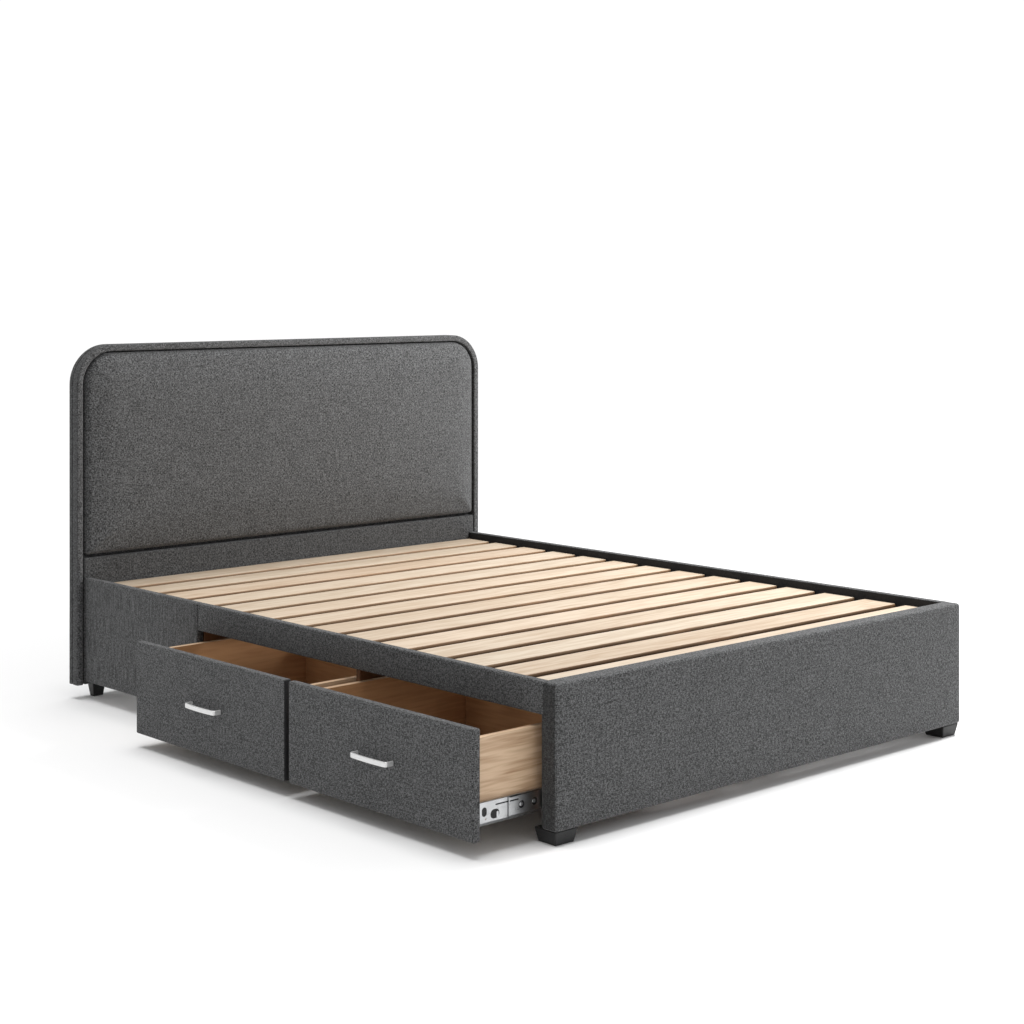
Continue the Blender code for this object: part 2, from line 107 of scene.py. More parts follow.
class BedColours(bpy.types.PropertyGroup):
    cloth_dark: colour_property("Dark yarn", "Dark yarn of the charcoal cloth", (0.0175, 0.0176, 0.0180))
    cloth_light: colour_property("Light yarn", "Light yarn of the charcoal cloth", (0.176, 0.178, 0.181))
    # This black also serves as painted shade on the head drawer front's end face, in the gap between the fronts.
    lining: colour_property("Lining", "Black lining inside the rails", (0.012, 0.012, 0.013))
    slat_light: colour_property("Slat timber", "Pale ground of the slats", (0.555, 0.470, 0.368))
    slat_dark: colour_property("Slat grain", "Grain of the slats", (0.39, 0.29, 0.195))
    box_light: colour_property("Drawer timber", "Ground of the drawer boards", (0.68, 0.505, 0.34))
    box_dark: colour_property("Drawer grain", "Grain of the drawer boards", (0.34, 0.19, 0.095))
    # Painted shade: the boards' inside faces are darker and redder than their outside, for the shade and bounced light
    # inside the box.
    inner_painted_shade_ground: colour_property("Drawer inside", "Ground of the drawers' inside faces", (0.58, 0.32, 0.155))
    inner_painted_shade_grain: colour_property("Drawer inside grain", "Grain of the drawers' inside faces", (0.40, 0.19, 0.08))
    base_light: colour_property("Drawer base", "Ground of the drawers' thin floors", (0.46, 0.43, 0.39))
    base_dark: colour_property("Drawer base grain", "Grain of the drawers' thin floors", (0.36, 0.33, 0.30))
    # Painted shade: the bay boards are given a near-black brown for the shade inside the drawer bay.
    bay_light: colour_property("Bay board", "Ground of the boards that carry the runners", (0.20, 0.095, 0.042))
    bay_dark: colour_property("Bay grain", "Grain of the boards that carry the runners", (0.12, 0.05, 0.022))
    zinc: colour_property("Zinc", "Zinc plate of the runners and screws", (0.58, 0.59, 0.60))
    handle: colour_property("Handle", "Satin metal of the handles", (0.78, 0.78, 0.775))
    # This black also makes the painted shade behind the runners' holes and round their screws.
    plastic: colour_property("Plastic", "Black plastic of the feet and runner levers", (0.0065, 0.0065, 0.0070))


# ------------------------------------------------------------------ shader groups

class Nodes:
    """Short ways to add and join nodes in one tree."""

    def __init__(self, tree):
        self.tree = tree

    def add(self, kind, **values):
        node = self.tree.nodes.new(kind)
        for key, value in values.items():
            setattr(node, key, value)
        return node

    def feed(self, socket, value):
        if isinstance(value, bpy.types.NodeSocket):
            self.tree.links.new(value, socket)
        else:
            socket.default_value = value

    def math(self, operation, first, second=0.0, third=0.0, clamp=False):
        node = self.add("ShaderNodeMath", operation=operation, use_clamp=clamp)
        for socket, value in zip(node.inputs, (first, second, third)):
            self.feed(socket, value)
        return node.outputs[0]

    def vector(self, x=0.0, y=0.0, z=0.0):
        node = self.add("ShaderNodeCombineXYZ")
        for socket, value in zip(node.inputs, (x, y, z)):
            self.feed(socket, value)
        return node.outputs[0]

    def scaled(self, vector, scale):
        node = self.add("ShaderNodeVectorMath", operation="MULTIPLY")
        self.feed(node.inputs[0], vector)
        self.feed(node.inputs[1], scale)
        return node.outputs[0]

    def split(self, vector):
        node = self.add("ShaderNodeSeparateXYZ")
        self.feed(node.inputs[0], vector)
        return node.outputs

    def noise(self, vector, scale, detail=2.0, roughness=0.5):
        node = self.add("ShaderNodeTexNoise")
        self.feed(node.inputs["Vector"], vector)
        self.feed(node.inputs["Scale"], scale)
        self.feed(node.inputs["Detail"], detail)
        self.feed(node.inputs["Roughness"], roughness)
        return node.outputs["Fac"]

    def chance(self, vector):
        node = self.add("ShaderNodeTexWhiteNoise", noise_dimensions="3D")
        self.feed(node.inputs["Vector"], vector)
        return node.outputs["Value"]

    def spread(self, value, low, high, to_low=0.0, to_high=1.0):
        node = self.add("ShaderNodeMapRange", clamp=True)
        for socket, item in zip(node.inputs, (value, low, high, to_low, to_high)):
            self.feed(socket, item)
        return node.outputs[0]

    def blend(self, factor, first, second, mode="MIX"):
        node = self.add("ShaderNodeMix", data_type="RGBA", blend_type=mode)
        self.feed(node.inputs[0], factor)
        self.feed(node.inputs[6], first)
        self.feed(node.inputs[7], second)
        return node.outputs[2]

    def pick(self, factor, first, second):
        node = self.add("ShaderNodeMix", data_type="FLOAT")
        self.feed(node.inputs[0], factor)
        self.feed(node.inputs[2], first)
        self.feed(node.inputs[3], second)
        return node.outputs[0]


def shader_group(name, inputs, outputs):
    """An empty group with sockets: each is (kind, name, default) or (kind, name)."""
    tree = bpy.data.node_groups.new(name, "ShaderNodeTree")
    for kind, label, default in inputs:
        socket = tree.interface.new_socket(label, in_out="INPUT", socket_type=f"NodeSocket{kind}")
        socket.default_value = default
    for kind, label in outputs:
        tree.interface.new_socket(label, in_out="OUTPUT", socket_type=f"NodeSocket{kind}")
    nodes = Nodes(tree)
    return tree, nodes, nodes.add("NodeGroupInput").outputs, nodes.add("NodeGroupOutput").inputs


def flat_places(nodes):
    """Two coordinates that lie in the surface: across it and up or along it."""
    places = nodes.add("ShaderNodeTexCoord")
    x, y, z = nodes.split(places.outputs["Object"])
    normal_x, normal_y, normal_z = (
        nodes.math("ABSOLUTE", part) for part in nodes.split(places.outputs["Normal"])
    )
    faces_x = nodes.math(
        "MULTIPLY",
        nodes.math("GREATER_THAN", normal_x, normal_y),
        nodes.math("GREATER_THAN", normal_x, normal_z),
    )
    faces_z = nodes.math(
        "MULTIPLY",
        nodes.math("GREATER_THAN", normal_z, normal_x),
        nodes.math("GREATER_THAN", normal_z, normal_y),
    )
    return nodes.pick(faces_x, x, y), nodes.pick(faces_z, z, y), places.outputs["Object"]


def woven_cloth_group():
    """Plain weave of slubby two-tone yarn, with painted shade in the weave's hollows and, through Shade, over the
    whole cloth.
    """
    tree, nodes, given, result = shader_group(
        "woven_cloth",
        (
            ("Color", "Dark Yarn", (0.03, 0.03, 0.03, 1.0)),
            ("Color", "Light Yarn", (0.16, 0.16, 0.16, 1.0)),
            ("Float", "Yarn Pitch", 0.002),
            ("Float", "Streak", 0.2),
            ("Float", "Level Streak", 0.2),
            ("Float", "Fleck", 1.0),
            ("Float", "Shade", 1.0),
        ),
        (("Color", "Color"), ("Float", "Roughness"), ("Float", "Height")),
    )
    across, up, place = flat_places(nodes)
    wander = nodes.noise(place, 55.0, 2.0)
    wander = nodes.math("MULTIPLY", nodes.math("SUBTRACT", wander, 0.5), 0.9)
    warp = nodes.math("ADD", nodes.math("DIVIDE", across, given["Yarn Pitch"]), wander)
    weft = nodes.math("ADD", nodes.math("DIVIDE", up, given["Yarn Pitch"]), wander)
    warp_number = nodes.math("FLOOR", warp)
    weft_number = nodes.math("FLOOR", weft)
    crossing = nodes.math("FLOORED_MODULO", nodes.math("ADD", warp_number, weft_number), 2.0)

    def bulge(position):
        offset = nodes.math("SUBTRACT", nodes.math("FRACT", position), 0.5)
        return nodes.math("SUBTRACT", 1.0, nodes.math("MULTIPLY", nodes.math("MULTIPLY", offset, offset), 4.0))

    warp_bulge = bulge(warp)
    weft_bulge = bulge(weft)
    warp_height = nodes.math("MULTIPLY", warp_bulge, nodes.math("MULTIPLY_ADD", weft_bulge, 0.45, 0.55))
    weft_height = nodes.math("MULTIPLY", weft_bulge, nodes.math("MULTIPLY_ADD", warp_bulge, 0.45, 0.55))
    height = nodes.pick(crossing, weft_height, warp_height)

    warp_tone = nodes.noise(nodes.vector(nodes.math("MULTIPLY", warp_number, 3.71), weft, 2.0), 0.16, 2.0)
    weft_tone = nodes.noise(nodes.vector(warp, nodes.math("MULTIPLY", weft_number, 4.33), 9.0), 0.16, 2.0)
    tone = nodes.pick(crossing, weft_tone, warp_tone)
    tone = nodes.spread(tone, 0.33, 0.75)
    single = nodes.chance(nodes.vector(warp_number, weft_number, 1.0))
    tone = nodes.pick(0.36, tone, nodes.math("POWER", single, 2.2))

    upright_dash = nodes.noise(
        nodes.vector(nodes.math("MULTIPLY", across, 640.0), nodes.math("MULTIPLY", up, 140.0), 3.0), 1.0, 1.0, 0.5
    )
    level_dash = nodes.noise(
        nodes.vector(nodes.math("MULTIPLY", across, 140.0), nodes.math("MULTIPLY", up, 640.0), 6.0), 1.0, 1.0, 0.5
    )
    dash = nodes.math("SUBTRACT", nodes.math("ADD", upright_dash, level_dash), 1.0)
    dash = nodes.math("MULTIPLY", dash, given["Fleck"])
    tone = nodes.math("ADD", tone, nodes.math("MULTIPLY", dash, 3.4))
    long_streak = nodes.noise(
        nodes.vector(nodes.math("MULTIPLY", across, 330.0), nodes.math("MULTIPLY", up, 14.0), 0.0), 1.0, 2.0
    )
    long_streak = nodes.math("MULTIPLY", nodes.math("SUBTRACT", long_streak, 0.5), given["Streak"])
    tone = nodes.math("ADD", tone, nodes.math("MULTIPLY", long_streak, 2.4))
    level_streak = nodes.noise(
        nodes.vector(nodes.math("MULTIPLY", across, 14.0), nodes.math("MULTIPLY", up, 330.0), 4.0), 1.0, 2.0
    )
    level_streak = nodes.math("MULTIPLY", nodes.math("SUBTRACT", level_streak, 0.5), given["Level Streak"])
    tone = nodes.math("ADD", tone, nodes.math("MULTIPLY", level_streak, 2.4))
    cloud = nodes.math("SUBTRACT", nodes.noise(place, 7.0, 3.0), 0.5)
    tone = nodes.math("ADD", tone, nodes.math("MULTIPLY", cloud, 0.15), clamp=True)

    colour = nodes.blend(tone, given["Dark Yarn"], given["Light Yarn"])
    # Painted shade: the colour darkens where the yarn lies low in the weave, and Shade darkens the whole cloth for
    # faces that stand in shade.
    depth = nodes.math("MULTIPLY", nodes.math("MULTIPLY_ADD", height, 0.5, 0.55), given["Shade"])
    colour = nodes.blend(1.0, colour, nodes.vector(depth, depth, depth), "MULTIPLY")
    nodes.feed(result["Color"], colour)
    nodes.feed(result["Roughness"], nodes.math("MULTIPLY_ADD", height, -0.10, 0.96))
    nodes.feed(result["Height"], nodes.math("ADD", height, nodes.math("MULTIPLY", single, 0.25)))
    return tree


def timber_grain_group():
    """Straight-grained boards: growth lines, pores, a tone of its own for each board, and painted shade on faces below
    Shade Level.
    """
    tree, nodes, given, result = shader_group(
        "timber_grain",
        (
            ("Color", "Ground", (0.6, 0.5, 0.4, 1.0)),
            ("Color", "Grain", (0.4, 0.3, 0.2, 1.0)),
            ("Vector", "Across", (1.0, 1.0, 1.0)),
            ("Float", "Board Pitch", 10.0),
            ("Float", "Board Start", 0.0),
            ("Float", "Contrast", 1.0),
            ("Float", "Shade Level", -1.0),
        ),
        (("Color", "Color"), ("Float", "Roughness"), ("Float", "Height")),
    )
    place = nodes.add("ShaderNodeTexCoord").outputs["Object"]
    x, y, z = nodes.split(place)
    number = nodes.math("FLOOR", nodes.math("DIVIDE", nodes.math("SUBTRACT", y, given["Board Start"]), given["Board Pitch"]))
    shift = nodes.add("ShaderNodeVectorMath", operation="ADD")
    nodes.feed(shift.inputs[0], place)
    nodes.feed(shift.inputs[1], nodes.vector(nodes.math("MULTIPLY", number, 1.37), 0.0, nodes.math("MULTIPLY", number, 0.61)))
    stretched = nodes.scaled(shift.outputs[0], given["Across"])
    bend = nodes.noise(stretched, 3.0, 3.0)
    lines = nodes.noise(stretched, 16.0, 4.0, 0.62)
    rings = nodes.math("SINE", nodes.math("MULTIPLY", nodes.math("ADD", lines, nodes.math("MULTIPLY", bend, 1.5)), 46.0))
    rings = nodes.spread(rings, -1.0, 1.0)
    pores = nodes.spread(nodes.noise(stretched, 110.0, 2.0, 0.7), 0.52, 0.72)
    amount = nodes.math("MULTIPLY", rings, 0.48)
    amount = nodes.math("ADD", amount, nodes.math("MULTIPLY", pores, 0.32))
    amount = nodes.math("ADD", amount, nodes.math("MULTIPLY", nodes.math("SUBTRACT", bend, 0.45), 0.7))
    own_tone = nodes.chance(nodes.vector(number, 5.0, 3.0))
    amount = nodes.math("ADD", amount, nodes.math("MULTIPLY", nodes.math("SUBTRACT", own_tone, 0.5), 0.42))
    amount = nodes.math("MULTIPLY", amount, given["Contrast"], clamp=True)
    colour = nodes.blend(amount, given["Ground"], given["Grain"])
    own_tint = nodes.math("MULTIPLY", nodes.chance(nodes.vector(number, 1.0, 8.0)), 0.35)
    colour = nodes.blend(own_tint, colour, (1.06, 0.93, 0.86, 1.0), "MULTIPLY")
    # Painted shade: below Shade Level the colour turns tan, then dark brown, for the shade in the gaps between slats.
    below = nodes.math("SUBTRACT", given["Shade Level"], z)
    colour = nodes.blend(nodes.spread(below, 0.0001, 0.0014), colour, (0.64, 0.49, 0.36, 1.0), "MULTIPLY")
    colour = nodes.blend(nodes.spread(below, 0.0036, 0.0095, 0.0, 0.94), colour, (0.16, 0.10, 0.06, 1.0), "MULTIPLY")
    nodes.feed(result["Color"], colour)
    nodes.feed(result["Roughness"], nodes.math("MULTIPLY_ADD", pores, 0.16, 0.50))
    nodes.feed(result["Height"], nodes.math("SUBTRACT", 1.0, nodes.math("MULTIPLY_ADD", pores, 0.8, nodes.math("MULTIPLY", rings, 0.2))))
    return tree


def handled_surface_group():
    """Fine lines along a surface, cloudy finger marks and specks of dust."""
    tree, nodes, given, result = shader_group(
        "handled_surface",
        (
            ("Color", "Base", (0.5, 0.5, 0.5, 1.0)),
            ("Vector", "Line Scale", (1.0, 1.0, 1.0)),
            ("Float", "Marks", 0.5),
            ("Float", "Roughness Low", 0.25),
            ("Float", "Roughness High", 0.45),
        ),
        (("Color", "Color"), ("Float", "Roughness"), ("Float", "Height")),
    )
    place = nodes.add("ShaderNodeTexCoord").outputs["Object"]
    lines = nodes.noise(nodes.scaled(place, given["Line Scale"]), 1.0, 3.0, 0.6)
    clouds = nodes.noise(place, 38.0, 4.0, 0.6)
    specks = nodes.spread(nodes.noise(place, 900.0, 1.0), 0.66, 0.74)
    tone = nodes.math("ADD", nodes.math("MULTIPLY", lines, 0.5), nodes.math("MULTIPLY", clouds, 0.5))
    darker = nodes.scaled(given["Base"], (0.72, 0.72, 0.72))
    share = nodes.math("MULTIPLY", nodes.spread(tone, 0.35, 0.65), given["Marks"])
    colour = nodes.blend(share, given["Base"], darker)
    colour = nodes.blend(nodes.math("MULTIPLY", specks, 0.10), colour, (0.45, 0.44, 0.42, 1.0))
    nodes.feed(result["Color"], colour)
    rough = nodes.pick(nodes.spread(tone, 0.3, 0.7), given["Roughness Low"], given["Roughness High"])
    nodes.feed(result["Roughness"], nodes.math("ADD", rough, nodes.math("MULTIPLY", specks, 0.1), clamp=True))
    nodes.feed(result["Height"], lines)
    return tree


# ------------------------------------------------------------------ materials

MATERIALS = {}
GROUPS = {}


def finish(name, group, values, bump, distance, **shader_values):
    """A material that takes colour, roughness and relief from a group."""
    material = bpy.data.materials.new(name)
    material.use_nodes = True
    nodes = Nodes(material.node_tree)
    shader = material.node_tree.nodes["Principled BSDF"]
    source = nodes.add("ShaderNodeGroup", node_tree=GROUPS[group])
    for key, value in values.items():
        source.inputs[key].default_value = value
    relief = nodes.add("ShaderNodeBump")
    relief.inputs["Strength"].default_value = bump
    relief.inputs["Distance"].default_value = distance
    nodes.feed(relief.inputs["Height"], source.outputs["Height"])
    nodes.feed(shader.inputs["Base Color"], source.outputs["Color"])
    nodes.feed(shader.inputs["Roughness"], source.outputs["Roughness"])
    nodes.feed(shader.inputs["Normal"], relief.outputs["Normal"])
    for key, value in shader_values.items():
        shader.inputs[key.replace("_", " ").title()].default_value = value
    MATERIALS[name] = material
    return material


def opaque(colour):
    return (*colour, 1.0)


def make_finishes(sizes, colours):
    GROUPS["woven_cloth"] = woven_cloth_group()
    GROUPS["timber_grain"] = timber_grain_group()
    GROUPS["handled_surface"] = handled_surface_group()

    cloth = {
        "Dark Yarn": opaque(colours.cloth_dark),
        "Light Yarn": opaque(colours.cloth_light),
        "Yarn Pitch": sizes.yarn_pitch,
    }
    finish("charcoal_cloth", "woven_cloth", {**cloth, "Streak": 0.42, "Level Streak": 0.36}, 0.55, 0.0007, sheen_weight=0.06)
    finish("charcoal_cloth_upright", "woven_cloth", {**cloth, "Streak": 0.80, "Level Streak": 0.1, "Fleck": 0.6}, 0.5, 0.0007, sheen_weight=0.06)
    # Painted shade: a darker copy of the cloth for the headboard's sides, its back and its lower panel.
    finish("charcoal_cloth_painted_shade", "woven_cloth", {**cloth, "Streak": 0.42, "Level Streak": 0.36, "Shade": 0.70}, 0.55, 0.0007, sheen_weight=0.05)
    # Painted shade: a much darker copy of the cloth for the footboard's end faces, for the shade the drawers cast
    # there.
    finish("charcoal_cloth_painted_end_shade", "woven_cloth", {**cloth, "Streak": 0.42, "Level Streak": 0.36, "Shade": 0.42}, 0.55, 0.0007, sheen_weight=0.03)
    # The lining also serves as painted shade on the head drawer front's end face, in the gap between the fronts.
    lining = {
        "Dark Yarn": opaque([part * 0.6 for part in colours.lining]),
        "Light Yarn": opaque([part * 1.8 for part in colours.lining]),
        "Yarn Pitch": sizes.yarn_pitch * 0.5,
        "Streak": 0.1,
    }
    finish("black_lining_and_painted_shade", "woven_cloth", lining, 0.35, 0.0003)

    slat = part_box("slat_01")
    next_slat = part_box("slat_02")
    pitch = next_slat[0][1] - slat[0][1]
    start = (slat[0][1] + slat[1][1]) / 2 - pitch / 2
    slats = {"Ground": opaque(colours.slat_light), "Grain": opaque(colours.slat_dark)}
    # Shade Level at the slats' tops puts painted shade on their sides, in the gaps between them.
    finish(
        "slat_timber", "timber_grain",
        {**slats, "Across": (0.07, 1.0, 1.0), "Board Pitch": pitch, "Board Start": start,
         "Shade Level": slat[1][2]},
        0.25, 0.0004,
    )
    finish("rail_timber", "timber_grain", {**slats, "Across": (1.0, 0.07, 1.0)}, 0.25, 0.0004)
    finish("cross_timber", "timber_grain", {**slats, "Across": (0.07, 1.0, 1.0)}, 0.25, 0.0004)
    finish("upright_timber", "timber_grain", {**slats, "Across": (1.0, 1.0, 0.07)}, 0.25, 0.0004)
    box = {"Ground": opaque(colours.box_light), "Grain": opaque(colours.box_dark)}
    finish("box_timber_deep", "timber_grain", {**box, "Across": (0.07, 1.0, 1.0)}, 0.2, 0.0003)
    finish("box_timber_wide", "timber_grain", {**box, "Across": (1.0, 0.07, 1.0)}, 0.2, 0.0003)
    # Painted shade: darker, redder copies of the drawer timber for the faces inside the box.
    inner = {"Ground": opaque(colours.inner_painted_shade_ground), "Grain": opaque(colours.inner_painted_shade_grain), "Contrast": 0.8}
    finish("inner_timber_deep", "timber_grain", {**inner, "Across": (0.07, 1.0, 1.0)}, 0.2, 0.0003)
    finish("inner_timber_wide", "timber_grain", {**inner, "Across": (1.0, 0.07, 1.0)}, 0.2, 0.0003)
    base = {"Ground": opaque(colours.base_light), "Grain": opaque(colours.base_dark)}
    finish("box_base", "timber_grain", {**base, "Across": (0.5, 0.5, 1.0), "Contrast": 0.6}, 0.1, 0.0002)
    # Painted shade: near-black brown for the boards in the shaded drawer bay.
    bay = {"Ground": opaque(colours.bay_light), "Grain": opaque(colours.bay_dark)}
    finish("bay_board_deep", "timber_grain", {**bay, "Across": (0.07, 1.0, 1.0)}, 0.15, 0.0003)
    finish("bay_board_wide", "timber_grain", {**bay, "Across": (1.0, 0.07, 1.0)}, 0.15, 0.0003)

    finish(
        "zinc_plate", "handled_surface",
        {"Base": opaque(colours.zinc), "Line Scale": (30.0, 700.0, 700.0), "Marks": 0.45,
         "Roughness Low": 0.24, "Roughness High": 0.42},
        0.12, 0.0002, metallic=1.0,
    )
    finish(
        "screw_steel", "handled_surface",
        {"Base": opaque(colours.zinc), "Line Scale": (300.0, 300.0, 300.0), "Marks": 0.3,
         "Roughness Low": 0.18, "Roughness High": 0.3},
        0.05, 0.0001, metallic=1.0,
    )
    finish(
        "satin_handle", "handled_surface",
        {"Base": opaque(colours.handle), "Line Scale": (900.0, 25.0, 900.0), "Marks": 0.15,
         "Roughness Low": 0.34, "Roughness High": 0.46},
        0.10, 0.0001, metallic=0.55,
    )
    finish(
        "black_plastic", "handled_surface",
        {"Base": opaque(colours.plastic), "Line Scale": (420.0, 420.0, 420.0), "Marks": 0.3,
         "Roughness Low": 0.42, "Roughness High": 0.62},
        0.25, 0.0003,
    )


KEPT_NODES = (
    ("rail_timber", ("slat_ledge_near", "slat_ledge_far", "centre_rail")),
    ("cross_timber", ("head_cross_rail",)),
    ("upright_timber", ("centre_leg",)),
    ("bay_board_deep", ("bay_board_foot_end", "bay_divider", "bay_board_head_end")),
    ("bay_board_wide", ("bay_back_board",)),
    ("box_base", tuple(f"{d}_floor" for d in DRAWERS)),
    ("black_plastic", tuple(f"{b}_end_{s}_foot" for b in ("foot", "head") for s in ("near", "far"))),
)


def dress_kept_nodes():
    """Gives every frame node that stays in sight its finish."""
    for name, nodes in KEPT_NODES:
        for node in nodes:
            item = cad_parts[node]
            for slot in item.material_slots:
                slot.material = MATERIALS[name]


# ------------------------------------------------------------------ mesh helpers

def piece_from(mesh_data, name, materials, smooth=True):
    """Turns a bmesh into a linked object and frees it."""
    mesh = bpy.data.meshes.new(name)
    bmesh.ops.recalc_face_normals(mesh_data, faces=mesh_data.faces)
    mesh_data.to_mesh(mesh)
    mesh_data.free()
    piece = bpy.data.objects.new(name, mesh)
    bpy.context.scene.collection.objects.link(piece)
    for material in materials:
        mesh.materials.append(MATERIALS[material])
    if smooth:
        mesh.polygons.foreach_set("use_smooth", [True] * len(mesh.polygons))
    return piece


def settle(piece, body, slot, *nodes):
    """Puts a piece on its body and hides the nodes it stands for; slot is not used."""
    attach(piece, body)
    if nodes:
        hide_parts(*nodes)
    return piece


def sharpen(piece, degrees=35.0):
    """Keeps edges crisp where faces meet at more than an angle."""
    piece.data.set_sharp_from_angle(angle=math.radians(degrees))


def ease(low, high, value):
    share = min(1.0, max(0.0, (value - low) / (high - low)))
    return share * share * (3.0 - 2.0 * share)


EDGE_ANGLES = (45.0, 34.0, 22.5, 11.0, 0.0)


def edge_lines(low, high, radius, step):
    """Places along one side: close together round its ends, even between them."""
    ends = [radius * (1.0 - math.tan(math.radians(angle))) for angle in EDGE_ANGLES]
    middle = high - low - 2 * radius
    count = max(1, round(middle / step))
    inner = [radius + middle * number / count for number in range(1, count)]
    length = high - low
    return [low + place for place in ends + inner] + [high - place for place in reversed(ends)]


def rounded_block(low, high, radius, step):
    """A closed block with round edges and an even grid on its faces."""
    lines = [edge_lines(low[axis], high[axis], radius, step) for axis in range(3)]
    last = [len(line) - 1 for line in lines]
    block = bmesh.new()
    made = {}

    def corner(index):
        if index not in made:
            flat = Vector([lines[axis][index[axis]] for axis in range(3)])
            core = Vector([min(max(flat[axis], low[axis] + radius), high[axis] - radius) for axis in range(3)])
            made[index] = block.verts.new(core + (flat - core).normalized() * radius)
        return made[index]

    for axis in range(3):
        side_a, side_b = [other for other in range(3) if other != axis]
        for end in (0, last[axis]):
            for a in range(last[side_a]):
                for b in range(last[side_b]):
                    ring = []
                    for da, db in ((0, 0), (1, 0), (1, 1), (0, 1)):
                        index = [0, 0, 0]
                        index[axis] = end
                        index[side_a] = a + da
                        index[side_b] = b + db
                        ring.append(corner(tuple(index)))
                    block.faces.new(ring)
    return block


def crown(block, low, high, lift, wave, reach=0.05):
    """Lifts the faces' middles by lift (x, y, z) and lets the cloth wander by wave."""
    block.normal_update()
    moves = []
    for vert in block.verts:
        normal = vert.normal.copy()
        axis = max(range(3), key=lambda number: abs(normal[number]))
        weight = 1.0
        for other in range(3):
            if other != axis:
                size = high[other] - low[other]
                edge = min(vert.co[other] - low[other], high[other] - vert.co[other])
                weight *= ease(0.0, min(reach, size / 2), edge)
        ripple = noise.noise(vert.co * 9.0) + 0.5 * noise.noise(vert.co * 27.0)
        amount = lift[axis] * weight + wave * ripple * weight
        moves.append((vert, normal * amount))
    for vert, move in moves:
        vert.co += move


def paint_faces(piece, slot_number, test):
    for face in piece.data.polygons:
        if test(face.center, face.normal):
            face.material_index = slot_number


# ------------------------------------------------------------------ upholstered panels

LINED_INSIDE = {
    "footboard": (1, 1.0, 0.012),
    "near_side_panel": (0, 1.0, 0.0005),
    "near_top_rail": (0, 1.0, 0.0005),
    "far_side_panel": (0, -1.0, 0.0005),
}


def cloth_panel(node, body, material, radius, lift, wave, lining=None, step=0.03, tuck=0.0):
    """An upholstered board in a frame node's place, with its hidden face lined.

    Its foot end runs on by tuck, under the cloth of the board it meets.
    """
    low, high = (Vector(corner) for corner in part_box(node))
    low.y -= tuck
    block = rounded_block(low, high, radius, step)
    crown(block, low, high, lift, wave)
    materials = [material, "black_lining_and_painted_shade"] if lining else [material]
    piece = piece_from(block, f"{node}_cover", materials)
    if lining:
        axis, sign, margin = lining
        others = [other for other in range(3) if other != axis]

        def hidden(centre, normal):
            inside = all(low[o] + margin < centre[o] < high[o] - margin for o in others)
            return normal[axis] * sign > 0.8 and inside

        paint_faces(piece, 1, hidden)
    settle(piece, body, "charcoal_weave", node)
    return piece


# ------------------------------------------------------------------ headboard

ARC_STEPS = 24


def arch_ring(half_width, bottom, top, corner, inset):
    """Points round an arched panel's outline, brought in by inset."""
    half = half_width - inset
    radius = max(corner - inset, 0.002)
    ring = []
    for centre_x, start in ((half - radius, 0), (radius - half, 90)):
        for step in range(ARC_STEPS + 1):
            angle = math.radians(start + 90.0 * step / ARC_STEPS)
            ring.append((centre_x + radius * math.cos(angle), top - inset - radius + radius * math.sin(angle)))
    side_steps = 24
    left, right = ring[-1], ring[0]
    down = [
        (left[0], left[1] + (bottom + inset - left[1]) * step / side_steps)
        for step in range(1, side_steps + 1)
    ]
    along = [
        (-half + 2 * half * step / side_steps, bottom + inset) for step in range(1, side_steps)
    ]
    up = [
        (right[0], bottom + inset + (right[1] - bottom - inset) * step / side_steps)
        for step in range(side_steps)
    ]
    return ring + down + along + up


def arch_solid(half_width, bottom, top, corner, profile):
    """A closed arched panel whose edge follows profile: (inset, y) from the back to the front."""
    solid = bmesh.new()
    rings = []
    for inset, y in profile:
        points = arch_ring(half_width, bottom, top, corner, inset)
        rings.append([solid.verts.new((x, y, z)) for x, z in points])
    count = len(rings[0])
    for first, second in zip(rings, rings[1:]):
        for number in range(count):
            after = (number + 1) % count
            solid.faces.new((first[number], first[after], second[after], second[number]))
    solid.faces.new(rings[0][::-1])
    solid.faces.new(rings[-1])
    return solid


def round_profile(depth_back, depth_front, radius, steps=6):
    """Inset and depth round an edge, from the back face to the front face."""
    profile = [(radius * 3.0, depth_back)]
    for step in range(steps + 1):
        angle = math.radians(90.0 * step / steps)
        profile.append((radius * (1.0 - math.sin(angle)), depth_back - radius * (1.0 - math.cos(angle))))
    for step in range(steps + 1):
        angle = math.radians(90.0 * step / steps)
        profile.append((radius * (1.0 - math.cos(angle)), depth_front + radius * (1.0 - math.sin(angle))))
    profile.append((radius * 3.0, depth_front))
    return profile


